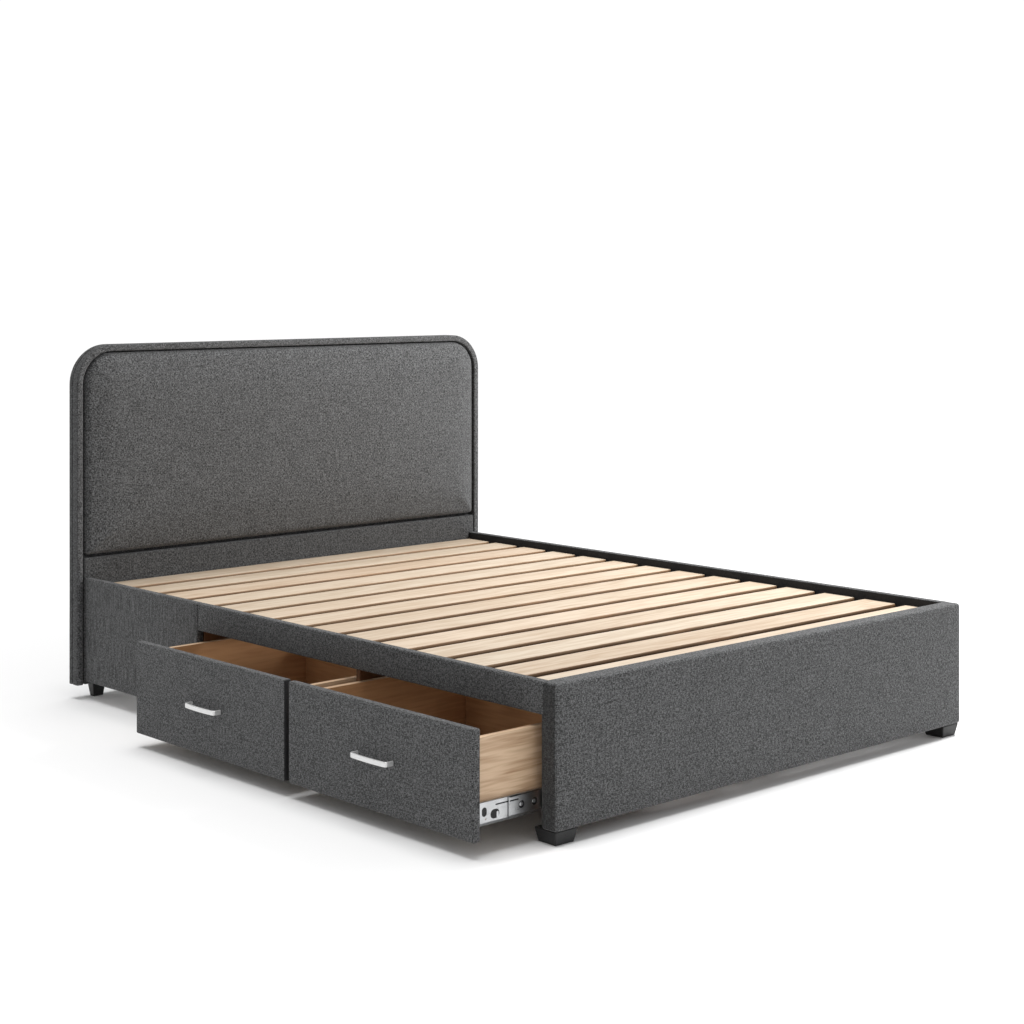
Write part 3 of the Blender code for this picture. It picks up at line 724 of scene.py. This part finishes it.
def border_piece(sizes):
    """The narrow border: a soft rectangular roll swept up one side, over and down the other."""
    low, high = (Vector(corner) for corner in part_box("headboard_border"))
    pad_low, pad_high = (Vector(corner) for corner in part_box("headboard_pad"))
    groove = 0.004
    width = high.z - pad_high.z - groove
    corner = 0.122
    half = high.x
    radius = 0.005
    path = arch_ring(half, low.z, high.z, corner, width / 2)
    open_path = path[: 2 * (ARC_STEPS + 1) + 24]
    right_leg = path[2 * (ARC_STEPS + 1) + 24 + 23:]
    open_path = [(half - width / 2, low.z)] + right_leg[1:] + open_path
    open_path[-1] = (width / 2 - half, low.z)

    profile = []
    half_width = width / 2
    half_depth = (high.y - low.y) / 2
    for sign_w, sign_d, start in ((1, 1, 0), (-1, 1, 90), (-1, -1, 180), (1, -1, 270)):
        for step in range(5):
            angle = math.radians(start + 90.0 * step / 4)
            profile.append((
                sign_w * (half_width - radius) + radius * math.cos(angle),
                sign_d * (half_depth - radius) + radius * math.sin(angle),
            ))
    sweep = bmesh.new()
    rings = []
    middle_y = (low.y + high.y) / 2
    for number, (x, z) in enumerate(open_path):
        before = open_path[max(0, number - 1)]
        after = open_path[min(len(open_path) - 1, number + 1)]
        along = Vector((after[0] - before[0], after[1] - before[1])).normalized()
        outward = Vector((along.y, -along.x))
        rings.append([
            sweep.verts.new((x + outward.x * across, middle_y + depth, z + outward.y * across))
            for across, depth in profile
        ])
    for first, second in zip(rings, rings[1:]):
        for number in range(len(profile)):
            after = (number + 1) % len(profile)
            sweep.faces.new((first[number], first[after], second[after], second[number]))
    sweep.faces.new(rings[0])
    sweep.faces.new(rings[-1][::-1])
    piece = piece_from(sweep, "headboard_border_cover", ["charcoal_cloth", "charcoal_cloth_painted_shade"])
    # Painted shade: the border's faces that don't look forward or back take the darker copy of the cloth.
    paint_faces(piece, 1, lambda centre, normal: abs(normal.y) < 0.6)
    settle(piece, BED_BODY, "charcoal_weave", "headboard_border")


def back_cover_piece():
    low, high = (Vector(corner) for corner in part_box("headboard_back_board"))
    solid = arch_solid(high.x, low.z, high.z, 0.122, round_profile(high.y, low.y, 0.0045))
    # Painted shade: the back cover, whose edges show as the headboard's sides, takes the darker copy of the cloth.
    piece = piece_from(solid, "headboard_back_cover", ["charcoal_cloth_painted_shade"])
    sharpen(piece, 50.0)
    settle(piece, BED_BODY, "charcoal_weave", "headboard_back_board")


def stuff(piece, swell, pressure, pinned):
    """Evens out a closed form's mesh and blows it up as stuffing does, by no more than swell."""
    bpy.context.view_layer.objects.active = piece
    for other in bpy.context.selected_objects:
        other.select_set(False)
    piece.select_set(True)
    even = piece.modifiers.new("even_mesh", "REMESH")
    even.mode = "VOXEL"
    even.voxel_size = 0.009
    even.use_smooth_shade = True
    bpy.ops.object.modifier_apply(modifier=even.name)
    start = [vert.co.copy() for vert in piece.data.vertices]
    hold = piece.vertex_groups.new(name="held")
    hold.add([number for number, place in enumerate(start) if pinned(place)], 1.0, "REPLACE")
    cloth = piece.modifiers.new("stuffing", "CLOTH")
    cloth.settings.quality = 4
    cloth.settings.mass = 0.3
    cloth.settings.use_pressure = True
    cloth.settings.uniform_pressure_force = pressure
    cloth.settings.effector_weights.gravity = 0.0
    cloth.settings.vertex_group_mass = "held"
    cloth.collision_settings.use_collision = False
    scene = bpy.context.scene
    for number in range(1, 21):
        scene.frame_set(number)
    solved = piece.evaluated_get(bpy.context.evaluated_depsgraph_get())
    moved = [vert.co.copy() for vert in solved.data.vertices]
    piece.modifiers.remove(cloth)
    scene.frame_set(1)
    for vert, before, after in zip(piece.data.vertices, start, moved):
        move = after - before
        if move.length > swell:
            move = move.normalized() * swell
        vert.co = before + move
    smooth = piece.modifiers.new("smooth", "SMOOTH")
    smooth.factor = 0.5
    smooth.iterations = 8
    bpy.ops.object.modifier_apply(modifier=smooth.name)
    finer = piece.modifiers.new("finer", "SUBSURF")
    finer.levels = 1
    finer.render_levels = 1
    bpy.ops.object.modifier_apply(modifier=finer.name)


def pad_piece(sizes):
    low, high = (Vector(corner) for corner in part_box("headboard_pad"))
    slack = sizes.pad_swell * 0.7
    roll = sizes.pad_roll
    front = low.y + slack
    profile = [(0.10, high.y - 0.002), (0.010, high.y - 0.002), (0.002, high.y - 0.008), (0.0, high.y - 0.02)]
    for step in range(11):
        angle = math.radians(90.0 * step / 10)
        profile.append((roll * (1.0 - math.cos(angle)), front + 0.019 * (1.0 - math.sin(angle))))
    profile += [(roll + 0.05, front - 0.003), (roll + 0.12, front - 0.005), (roll + 0.20, front - 0.006)]
    solid = arch_solid(high.x, low.z + 0.002, high.z + 0.0045, 0.098, profile)
    piece = piece_from(solid, "headboard_pad_cushion", ["charcoal_cloth"])
    stuff(piece, sizes.pad_swell, 4.0, lambda place: place.y > high.y - 0.02)
    piece.data.materials.clear()
    piece.data.materials.append(MATERIALS["charcoal_cloth"])
    piece.data.polygons.foreach_set("use_smooth", [True] * len(piece.data.polygons))
    settle(piece, BED_BODY, "charcoal_weave", "headboard_pad")


# ------------------------------------------------------------------ slats

def slat_piece(node, sizes):
    """One springy slat with eased edges and a trace of bow."""
    low, high = (Vector(corner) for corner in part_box(node))
    block = rounded_block(low, high, sizes.slat_edge, 0.10)
    number = int(node[-2:])
    for vert in block.verts:
        along = (vert.co.x - low.x) / (high.x - low.x)
        vert.co.y += 0.0008 * noise.noise(Vector((along * 1.7, number * 3.3, 0.5)))
        vert.co.z += 0.0005 * noise.noise(Vector((along * 2.1, number * 5.1, 7.5))) * math.sin(math.pi * along)
    piece = piece_from(block, f"{node}_board", ["slat_timber"])
    settle(piece, BED_BODY, "pale_timber", node)


def box_board(drawer, part, axis, inward):
    """A board of a drawer's box, with painted shade on the face that looks into the box: browner and darker there."""
    node = f"{drawer}_{part}"
    low, high = (Vector(corner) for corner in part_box(node))
    run = "deep" if axis == 1 else "wide"
    piece = piece_from(
        rounded_block(low, high, 0.0012, 0.12), f"{node}_board", [f"box_timber_{run}", f"inner_timber_{run}"]
    )
    # Painted shade: the face that looks into the box takes the darker inside timber.
    paint_faces(piece, 1, lambda centre, normal: normal[axis] * inward > 0.9)
    settle(piece, drawer, "drawer_timber", node)


# ------------------------------------------------------------------ runners

RUNNER_WALL = 0.0013
RUNNER_BEND = 0.0035
SLOT_SIDES = 24


def channel_outline(low, high, opens):
    """The rolled section (y, z) of a runner's member: a web, two round bends and two lips."""
    web, lip = (high.y, low.y) if opens < 0 else (low.y, high.y)
    centre = (low.z + high.z) / 2
    half = (high.z - low.z) / 2
    outside = []
    for step in range(6):
        angle = math.radians(90.0 * step / 5)
        outside.append((RUNNER_BEND * (1.0 - math.cos(angle)), half - RUNNER_BEND * (1.0 - math.sin(angle))))
    inner_bend = RUNNER_BEND - RUNNER_WALL
    inside = []
    for step in range(6):
        angle = math.radians(90.0 * step / 5)
        inside.append((
            RUNNER_WALL + inner_bend * (1.0 - math.cos(angle)),
            half - RUNNER_WALL - inner_bend * (1.0 - math.sin(angle)),
        ))
    depth = abs(lip - web)
    upper = outside + [(depth - RUNNER_WALL / 2, half), (depth, half - RUNNER_WALL / 2),
                       (depth - RUNNER_WALL / 2, half - RUNNER_WALL)] + inside[::-1]
    whole = upper + [(across, -up) for across, up in reversed(upper)]
    return [(web + opens * across, centre + up) for across, up in whole]


def extruded(outline, start, end):
    solid = bmesh.new()
    rings = [[solid.verts.new((x, y, z)) for y, z in outline] for x in (start, end)]
    count = len(outline)
    for number in range(count):
        after = (number + 1) % count
        solid.faces.new((rings[0][number], rings[0][after], rings[1][after], rings[1][number]))
    solid.faces.new(rings[0][::-1])
    solid.faces.new(rings[1])
    bmesh.ops.recalc_face_normals(solid, faces=solid.faces)
    return solid


def stadium(centre_x, centre_z, width, height):
    """A slot's outline (x, z) with half-round ends."""
    radius = min(width, height) / 2
    points = []
    for number in range(SLOT_SIDES):
        angle = 2 * math.pi * (number + 0.5) / SLOT_SIDES
        shift_x = math.copysign(width / 2 - radius, math.cos(angle))
        shift_z = math.copysign(height / 2 - radius, math.sin(angle))
        points.append((centre_x + shift_x + radius * math.cos(angle), centre_z + shift_z + radius * math.sin(angle)))
    return points


def prism(outline, near_y, far_y):
    """A closed bar through the web with the given outline (x, z)."""
    solid = bmesh.new()
    rings = [[solid.verts.new((x, y, z)) for x, z in outline] for y in (near_y, far_y)]
    count = len(outline)
    for number in range(count):
        after = (number + 1) % count
        solid.faces.new((rings[0][number], rings[0][after], rings[1][after], rings[1][number]))
    solid.faces.new(rings[0][::-1])
    solid.faces.new(rings[1])
    bmesh.ops.recalc_face_normals(solid, faces=solid.faces)
    return solid


def joined(parts):
    """One bmesh from several, in order."""
    whole = bmesh.new()
    for part in parts:
        mesh = bpy.data.meshes.new("part")
        part.to_mesh(mesh)
        part.free()
        whole.from_mesh(mesh)
        bpy.data.meshes.remove(mesh)
    return whole


def plain_object(solid, name):
    mesh = bpy.data.meshes.new(name)
    solid.to_mesh(mesh)
    solid.free()
    item = bpy.data.objects.new(name, mesh)
    bpy.context.scene.collection.objects.link(item)
    return item


def punched(solid, outlines, near_y, far_y):
    """The solid with a hole through it for each outline."""
    body = plain_object(solid, "blank")
    tool = plain_object(joined([prism(outline, near_y, far_y) for outline in outlines]), "punch")
    hole = body.modifiers.new("holes", "BOOLEAN")
    hole.operation = "DIFFERENCE"
    hole.solver = "EXACT"
    hole.object = tool
    solved = body.evaluated_get(bpy.context.evaluated_depsgraph_get())
    result = bmesh.new()
    result.from_mesh(solved.data)
    for item in (body, tool):
        mesh = item.data
        bpy.data.objects.remove(item)
        bpy.data.meshes.remove(mesh)
    return result


def lathe(profile, centre, opens):
    """A round head turned about an axis along y: profile is (radius, reach)."""
    solid = bmesh.new()
    rings = []
    for radius, reach in profile:
        rings.append([
            solid.verts.new((
                centre[0] + radius * math.cos(2 * math.pi * n / SLOT_SIDES),
                centre[1] + opens * reach,
                centre[2] + radius * math.sin(2 * math.pi * n / SLOT_SIDES),
            ))
            for n in range(SLOT_SIDES)
        ])
    for first, second in zip(rings, rings[1:]):
        for n in range(SLOT_SIDES):
            after = (n + 1) % SLOT_SIDES
            solid.faces.new((first[n], first[after], second[after], second[n]))
    solid.faces.new(rings[0])
    solid.faces.new(rings[-1][::-1])
    bmesh.ops.recalc_face_normals(solid, faces=solid.faces)
    return solid


SCREW_HEAD = ((0.0050, 0.0), (0.0050, 0.0004), (0.0044, 0.0009), (0.0030, 0.0012))


def screw_head(centre, opens):
    """A low cross-recessed head."""
    head = lathe(SCREW_HEAD, centre, opens)
    near, far = centre[1] + opens * 0.0004, centre[1] + opens * 0.0020
    arms = [stadium(centre[0], centre[2], 0.0052, 0.0012), stadium(centre[0], centre[2], 0.0012, 0.0052)]
    return punched(punched(head, arms[:1], near, far), arms[1:], near, far)


SCREW_PLACES = (0.1400, 0.1800, 0.3900)


def raised_strip(centre_x, centre_z, length, web, opens):
    """A pressed strip on the web that leans outwards at its lower edge."""
    strip = prism(stadium(centre_x, centre_z + 0.0045, length, 0.0095), web + opens * 0.0010, web + opens * 0.0014)
    for vert in strip.verts:
        if abs(vert.co.y - web) > 0.0012:
            vert.co.y += opens * 0.11 * (centre_z + 0.0095 - vert.co.z)
    return strip


def runner_piece(drawer, end, member, body):
    """One member of a ball-bearing runner, punched, with its lever or screws; black backings behind the inner member's
    holes and round its screws are painted shade.
    """
    node = f"{drawer}_runner_{end}_{member}"
    low, high = (Vector(corner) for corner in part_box(node))
    toward_drawer = 1.0 if end == "foot_end" else -1.0
    opens = toward_drawer if member == "outer" else -toward_drawer
    web = high.y if opens < 0 else low.y
    centre_z = (low.z + high.z) / 2
    section = extruded(channel_outline(low, high, opens), low.x, high.x)
    reach = (web - opens * 0.001, web + opens * (RUNNER_WALL + 0.001))
    start = low.x
    extras = []
    levers_and_painted_shade = []
    if member == "inner":
        holes = [
            stadium(start + 0.0285, centre_z + 0.001, 0.0150, 0.0210),
            stadium(start + 0.0330, centre_z - 0.0155, 0.0035, 0.0035),
            stadium(start + 0.0605, centre_z - 0.0080, 0.0270, 0.0210),
            stadium(start + 0.1000, centre_z + 0.0120, 0.0760, 0.0034),
            stadium(high.x - 0.0300, centre_z, 0.0090, 0.0090),
            stadium(start + 0.2900, centre_z, 0.0300, 0.0060),
        ]
        tongue = prism(stadium(start + 0.0680, centre_z - 0.0110, 0.0060, 0.0150), web + opens * 0.0002, web + opens * 0.0022)
        extras = [tongue, raised_strip(start + 0.0830, centre_z, 0.0290, web, opens)]
        for place in SCREW_PLACES:
            extras.append(screw_head((start + place, web + opens * (RUNNER_WALL + 0.0002), centre_z - 0.001), opens))
            # Painted shade: a thin black disc under each screw head makes a dark ring round it.
            levers_and_painted_shade.append(lathe(((0.0098, 0.0), (0.0098, 0.0003)), (start + place, web + opens * (RUNNER_WALL - 0.0001), centre_z - 0.001), opens))
        # Painted shade: black backings behind the front holes make them look deep.
        levers_and_painted_shade += [
            prism(stadium(start + 0.0280, centre_z + 0.002, 0.0200, 0.0260), web + opens * 0.0001, web + opens * 0.0007),
            prism(stadium(start + 0.0605, centre_z - 0.0080, 0.0290, 0.0230), web + opens * 0.0001, web + opens * 0.0005),
            prism(stadium(start + 0.1000, centre_z + 0.0120, 0.0780, 0.0054), web + opens * 0.0001, web + opens * 0.0006),
        ]
    elif member == "middle":
        holes = [
            stadium(start + 0.0170, centre_z + 0.0125, 0.0280, 0.0034),
            stadium(start + SCREW_PLACES[0] - 0.1, centre_z - 0.001, 0.0190, 0.0170),
            stadium(start + SCREW_PLACES[1] - 0.1, centre_z - 0.001, 0.0190, 0.0170),
            stadium(start + 0.270, centre_z, 0.0400, 0.0080),
            stadium(high.x - 0.040, centre_z, 0.0120, 0.0120),
        ]
        extras = [raised_strip(start + 0.0160, centre_z, 0.0270, web, opens)]
    else:
        holes = [
            stadium(start + 0.037, centre_z, 0.0090, 0.0090),
            stadium(start + 0.224, centre_z, 0.0200, 0.0055),
            stadium(high.x - 0.037, centre_z, 0.0090, 0.0090),
        ]
        for place in (0.037, 0.463):
            extras.append(screw_head((start + place, web + opens * 0.0004, centre_z), opens))
    solid = punched(section, holes, *reach)
    piece = piece_from(joined([solid, *extras]), f"{node}_rail", ["zinc_plate"])
    sharpen(piece, 32.0)
    settle(piece, body, "zinc", node)
    if levers_and_painted_shade:
        painted_shade_and_lever_piece = piece_from(joined(levers_and_painted_shade), f"{node}_levers", ["black_plastic"])
        sharpen(painted_shade_and_lever_piece, 32.0)
        settle(painted_shade_and_lever_piece, body, "black_plastic")


# ------------------------------------------------------------------ handles

def handle_piece(drawer, sizes):
    """A flat bar, slightly bowed, bent back to the front at both ends."""
    low, high = (Vector(corner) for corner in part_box(f"{drawer}_handle"))
    half = (high.y - low.y) / 2
    reach = high.x - low.x
    thick = 0.005
    bow = 0.003
    bend = 0.008
    centre = Vector((high.x, (low.y + high.y) / 2, (low.z + high.z) / 2))

    def line(offset):
        """The bar's path from above, offset inwards."""
        points = [(0.0, half - offset)]
        radius = max(bend - offset, 0.001)
        level = reach - bow - offset
        for step in range(7):
            angle = math.radians(90.0 * step / 6)
            points.append((
                -(level - radius + radius * math.sin(angle)),
                half - offset - radius + radius * math.cos(angle),
            ))
        span = half - offset - radius
        for step in range(1, 12):
            along = span - 2 * span * step / 12
            points.append((-(level + bow * (1.0 - (along / span) ** 2)), along))
        return points + [(x, -y) for x, y in reversed(points[:8])]

    outer = line(0.0)
    inner = line(thick)
    bar = bmesh.new()
    bottom = low.z - centre.z
    top = high.z - centre.z
    layers = [
        [[bar.verts.new((centre.x + x, centre.y + y, centre.z + z)) for x, y in path] for path in (outer, inner)]
        for z in (bottom, top)
    ]
    for number in range(len(outer) - 1):
        (lower_out, lower_in), (upper_out, upper_in) = layers
        bar.faces.new((lower_out[number], lower_out[number + 1], upper_out[number + 1], upper_out[number]))
        bar.faces.new((lower_in[number + 1], lower_in[number], upper_in[number], upper_in[number + 1]))
        bar.faces.new((upper_out[number], upper_out[number + 1], upper_in[number + 1], upper_in[number]))
        bar.faces.new((lower_out[number + 1], lower_out[number], lower_in[number], lower_in[number + 1]))
    for end in (0, -1):
        bar.faces.new((layers[0][0][end], layers[0][1][end], layers[1][1][end], layers[1][0][end]))
    piece = piece_from(bar, f"{drawer}_handle_bar", ["satin_handle"])
    rounding = piece.modifiers.new("rounded_edges", "BEVEL")
    rounding.width = sizes.handle_edge
    rounding.segments = 3
    rounding.limit_method = "ANGLE"
    rounding.angle_limit = math.radians(50.0)
    sharpen(piece, 60.0)
    settle(piece, drawer, "satin_metal", f"{drawer}_handle")


# ------------------------------------------------------------------ stage

class BED_OT_finishes(bpy.types.Operator):
    """Makes the finishes and gives them to the frame nodes that stay in sight"""

    bl_idname = "bed.finishes"
    bl_label = "Finishes"

    def execute(self, context):
        make_finishes(context.scene.bed_sizes, context.scene.bed_colours)
        dress_kept_nodes()
        return {"FINISHED"}


class BED_OT_base_panels(bpy.types.Operator):
    """Upholsters the footboard, the side panels and the rail over the drawers"""

    bl_idname = "bed.base_panels"
    bl_label = "Base panels"

    def execute(self, context):
        sizes = context.scene.bed_sizes
        lift = sizes.panel_crown
        footboard = cloth_panel(
            "footboard", BED_BODY, "charcoal_cloth", sizes.footboard_radius, (0.0, lift * 1.5, 0.0), 0.0,
            LINED_INSIDE["footboard"],
        )
        # Painted shade: the footboard's end faces take the darkest copy of the cloth.
        footboard.data.materials.append(MATERIALS["charcoal_cloth_painted_end_shade"])
        paint_faces(footboard, 2, lambda centre, normal: abs(normal.x) > 0.85)
        for node, material in (
            ("near_side_panel", "charcoal_cloth_upright"),
            ("near_top_rail", "charcoal_cloth"),
            ("far_side_panel", "charcoal_cloth_upright"),
        ):
            tuck = sizes.footboard_radius + sizes.panel_radius if node != "near_side_panel" else 0.0
            cloth_panel(
                node, BED_BODY, material, sizes.panel_radius, (0.0, 0.0, 0.0), 0.0, LINED_INSIDE[node], tuck=tuck
            )
        return {"FINISHED"}


class BED_OT_headboard(bpy.types.Operator):
    """Upholsters the headboard's border, lower panel and back"""

    bl_idname = "bed.headboard"
    bl_label = "Headboard"

    def execute(self, context):
        sizes = context.scene.bed_sizes
        border_piece(sizes)
        back_cover_piece()
        # Painted shade: the lower panel under the pad takes the darker copy of the cloth.
        cloth_panel(
            "headboard_lower_panel", BED_BODY, "charcoal_cloth_painted_shade", sizes.panel_radius, (0.0, sizes.panel_crown, 0.0), 0.0004
        )
        return {"FINISHED"}


class BED_OT_headboard_pad(bpy.types.Operator):
    """Stuffs the headboard's pad"""

    bl_idname = "bed.headboard_pad"
    bl_label = "Headboard pad"

    def execute(self, context):
        pad_piece(context.scene.bed_sizes)
        return {"FINISHED"}


class BED_OT_drawer_fronts(bpy.types.Operator):
    """Upholsters the drawer fronts"""

    bl_idname = "bed.drawer_fronts"
    bl_label = "Drawer fronts"

    def execute(self, context):
        sizes = context.scene.bed_sizes
        for drawer in DRAWERS:
            front = cloth_panel(
                f"{drawer}_front", drawer, "charcoal_cloth", sizes.panel_radius, (sizes.panel_crown, 0.0, 0.0), 0.0003,
                (0, 1.0, 0.022),
            )
            # Painted shade: the head drawer's front takes the black lining on its face towards the foot drawer, for
            # the shade in the gap between the fronts.
            if drawer == DRAWERS[1]:
                paint_faces(front, 1, lambda centre, normal: normal.y < -0.5)
        return {"FINISHED"}


class BED_OT_slats(bpy.types.Operator):
    """Lays the slats"""

    bl_idname = "bed.slats"
    bl_label = "Slats"

    def execute(self, context):
        for number in range(1, 15):
            slat_piece(f"slat_{number:02d}", context.scene.bed_sizes)
        return {"FINISHED"}


class BED_OT_drawer_boxes(bpy.types.Operator):
    """Makes the sides and backs of the drawers' boxes"""

    bl_idname = "bed.drawer_boxes"
    bl_label = "Drawer boxes"

    def execute(self, context):
        for drawer in DRAWERS:
            box_board(drawer, "side_foot_end", 1, 1.0)
            box_board(drawer, "side_head_end", 1, -1.0)
            box_board(drawer, "back", 0, -1.0)
        return {"FINISHED"}


class BED_OT_runners(bpy.types.Operator):
    """Makes the drawers' telescopic runners"""

    bl_idname = "bed.runners"
    bl_label = "Runners"

    def execute(self, context):
        for drawer in DRAWERS:
            for end in RUNNER_ENDS:
                for member, body in (
                    ("inner", drawer),
                    ("middle", f"{drawer}_runner_{end}_middle"),
                    ("outer", BED_BODY),
                ):
                    runner_piece(drawer, end, member, body)
        return {"FINISHED"}


class BED_OT_handles(bpy.types.Operator):
    """Makes the drawers' bar handles"""

    bl_idname = "bed.handles"
    bl_label = "Handles"

    def execute(self, context):
        for drawer in DRAWERS:
            handle_piece(drawer, context.scene.bed_sizes)
        return {"FINISHED"}


def soft_light(name, location, target, size, power, colour=(1.0, 1.0, 1.0)):
    data = bpy.data.lights.new(name, "AREA")
    data.shape = "RECTANGLE"
    data.size, data.size_y = size
    data.energy = power
    data.color = colour
    lamp = bpy.data.objects.new(name, data)
    lamp.location = location
    lamp.rotation_euler = (Vector(target) - Vector(location)).to_track_quat("-Z", "Y").to_euler()
    bpy.context.scene.collection.objects.link(lamp)
    return lamp


class BED_OT_stage(bpy.types.Operator):
    """Lays the floor and sets the lights and the camera"""

    bl_idname = "bed.stage"
    bl_label = "Stage"

    def execute(self, context):
        scene = context.scene
        floor_mesh = bmesh.new()
        bmesh.ops.create_grid(floor_mesh, x_segments=8, y_segments=8, size=40.0)
        floor_data = bpy.data.meshes.new("floor")
        floor_mesh.to_mesh(floor_data)
        floor_mesh.free()
        floor = bpy.data.objects.new("floor", floor_data)
        scene.collection.objects.link(floor)
        paint = bpy.data.materials.new("floor_paint")
        paint.use_nodes = True
        shader = paint.node_tree.nodes["Principled BSDF"]
        shader.inputs["Base Color"].default_value = (0.90, 0.90, 0.90, 1.0)
        shader.inputs["Roughness"].default_value = 0.9
        shader.inputs["Specular IOR Level"].default_value = 0.1
        floor_data.materials.append(paint)

        world = bpy.data.worlds.new("studio")
        world.use_nodes = True
        nodes = Nodes(world.node_tree)
        background = world.node_tree.nodes["Background"]
        background.inputs["Color"].default_value = (1.0, 1.0, 1.0, 1.0)
        seen = nodes.add("ShaderNodeLightPath").outputs["Is Camera Ray"]
        nodes.feed(background.inputs["Strength"], nodes.pick(seen, 0.52, 1.05))
        scene.world = world
        scene.view_settings.view_transform = "Standard"
        overhead = bpy.data.lights.new("overhead_light", "SUN")
        overhead.energy = 2.06
        overhead.angle = math.radians(38.0)
        overhead_lamp = bpy.data.objects.new("overhead_light", overhead)
        overhead_lamp.rotation_euler = (math.radians(-5.0), math.radians(-1.0), 0.0)
        scene.collection.objects.link(overhead_lamp)
        soft_light("key_light", (1.9, -0.95, 2.4), (0.2, 1.0, 0.75), (1.1, 0.9), 100.0)
        soft_light("fill_light", (3.0, -3.0, 1.0), (0.7, -1.0, 0.2), (1.0, 1.0), 22.0)

        camera_data = bpy.data.cameras.new("camera")
        camera_data.sensor_width = 36.0
        camera_data.lens = scene.bed_sizes.camera_lens
        camera_data.shift_y = -0.2288
        camera_data.clip_end = 200.0
        camera = bpy.data.objects.new("camera", camera_data)
        camera.location = (-3.769, -4.155, 1.2858)
        camera.rotation_euler = (math.radians(90.0), 0.0, math.radians(-42.60))
        scene.collection.objects.link(camera)
        scene.camera = camera
        return {"FINISHED"}


class BED_PT_panel(bpy.types.Panel):
    bl_label = "Platform bed"
    bl_idname = "BED_PT_panel"
    bl_space_type = "VIEW_3D"
    bl_region_type = "UI"
    bl_category = "Bed"

    def draw(self, context):
        for operator in OPERATORS:
            self.layout.operator(operator.bl_idname)
        for settings in (context.scene.bed_sizes, context.scene.bed_colours):
            box = self.layout.box()
            for key in settings.__annotations__:
                box.prop(settings, key)


OPERATORS = (
    BED_OT_finishes,
    BED_OT_stage,
    BED_OT_base_panels,
    BED_OT_headboard,
    BED_OT_headboard_pad,
    BED_OT_drawer_fronts,
    BED_OT_slats,
    BED_OT_drawer_boxes,
    BED_OT_runners,
    BED_OT_handles,
)
CLASSES = (BedSizes, BedColours, *OPERATORS, BED_PT_panel)


def register():
    for item in CLASSES:
        bpy.utils.register_class(item)
    bpy.types.Scene.bed_sizes = bpy.props.PointerProperty(type=BedSizes)
    bpy.types.Scene.bed_colours = bpy.props.PointerProperty(type=BedColours)


def unregister():
    del bpy.types.Scene.bed_colours
    del bpy.types.Scene.bed_sizes
    for item in reversed(CLASSES):
        bpy.utils.unregister_class(item)


def main():
    register()
    for operator in OPERATORS:
        group, name = operator.bl_idname.split(".")
        getattr(getattr(bpy.ops, group), name)()


if __name__ == "__main__":
    main()
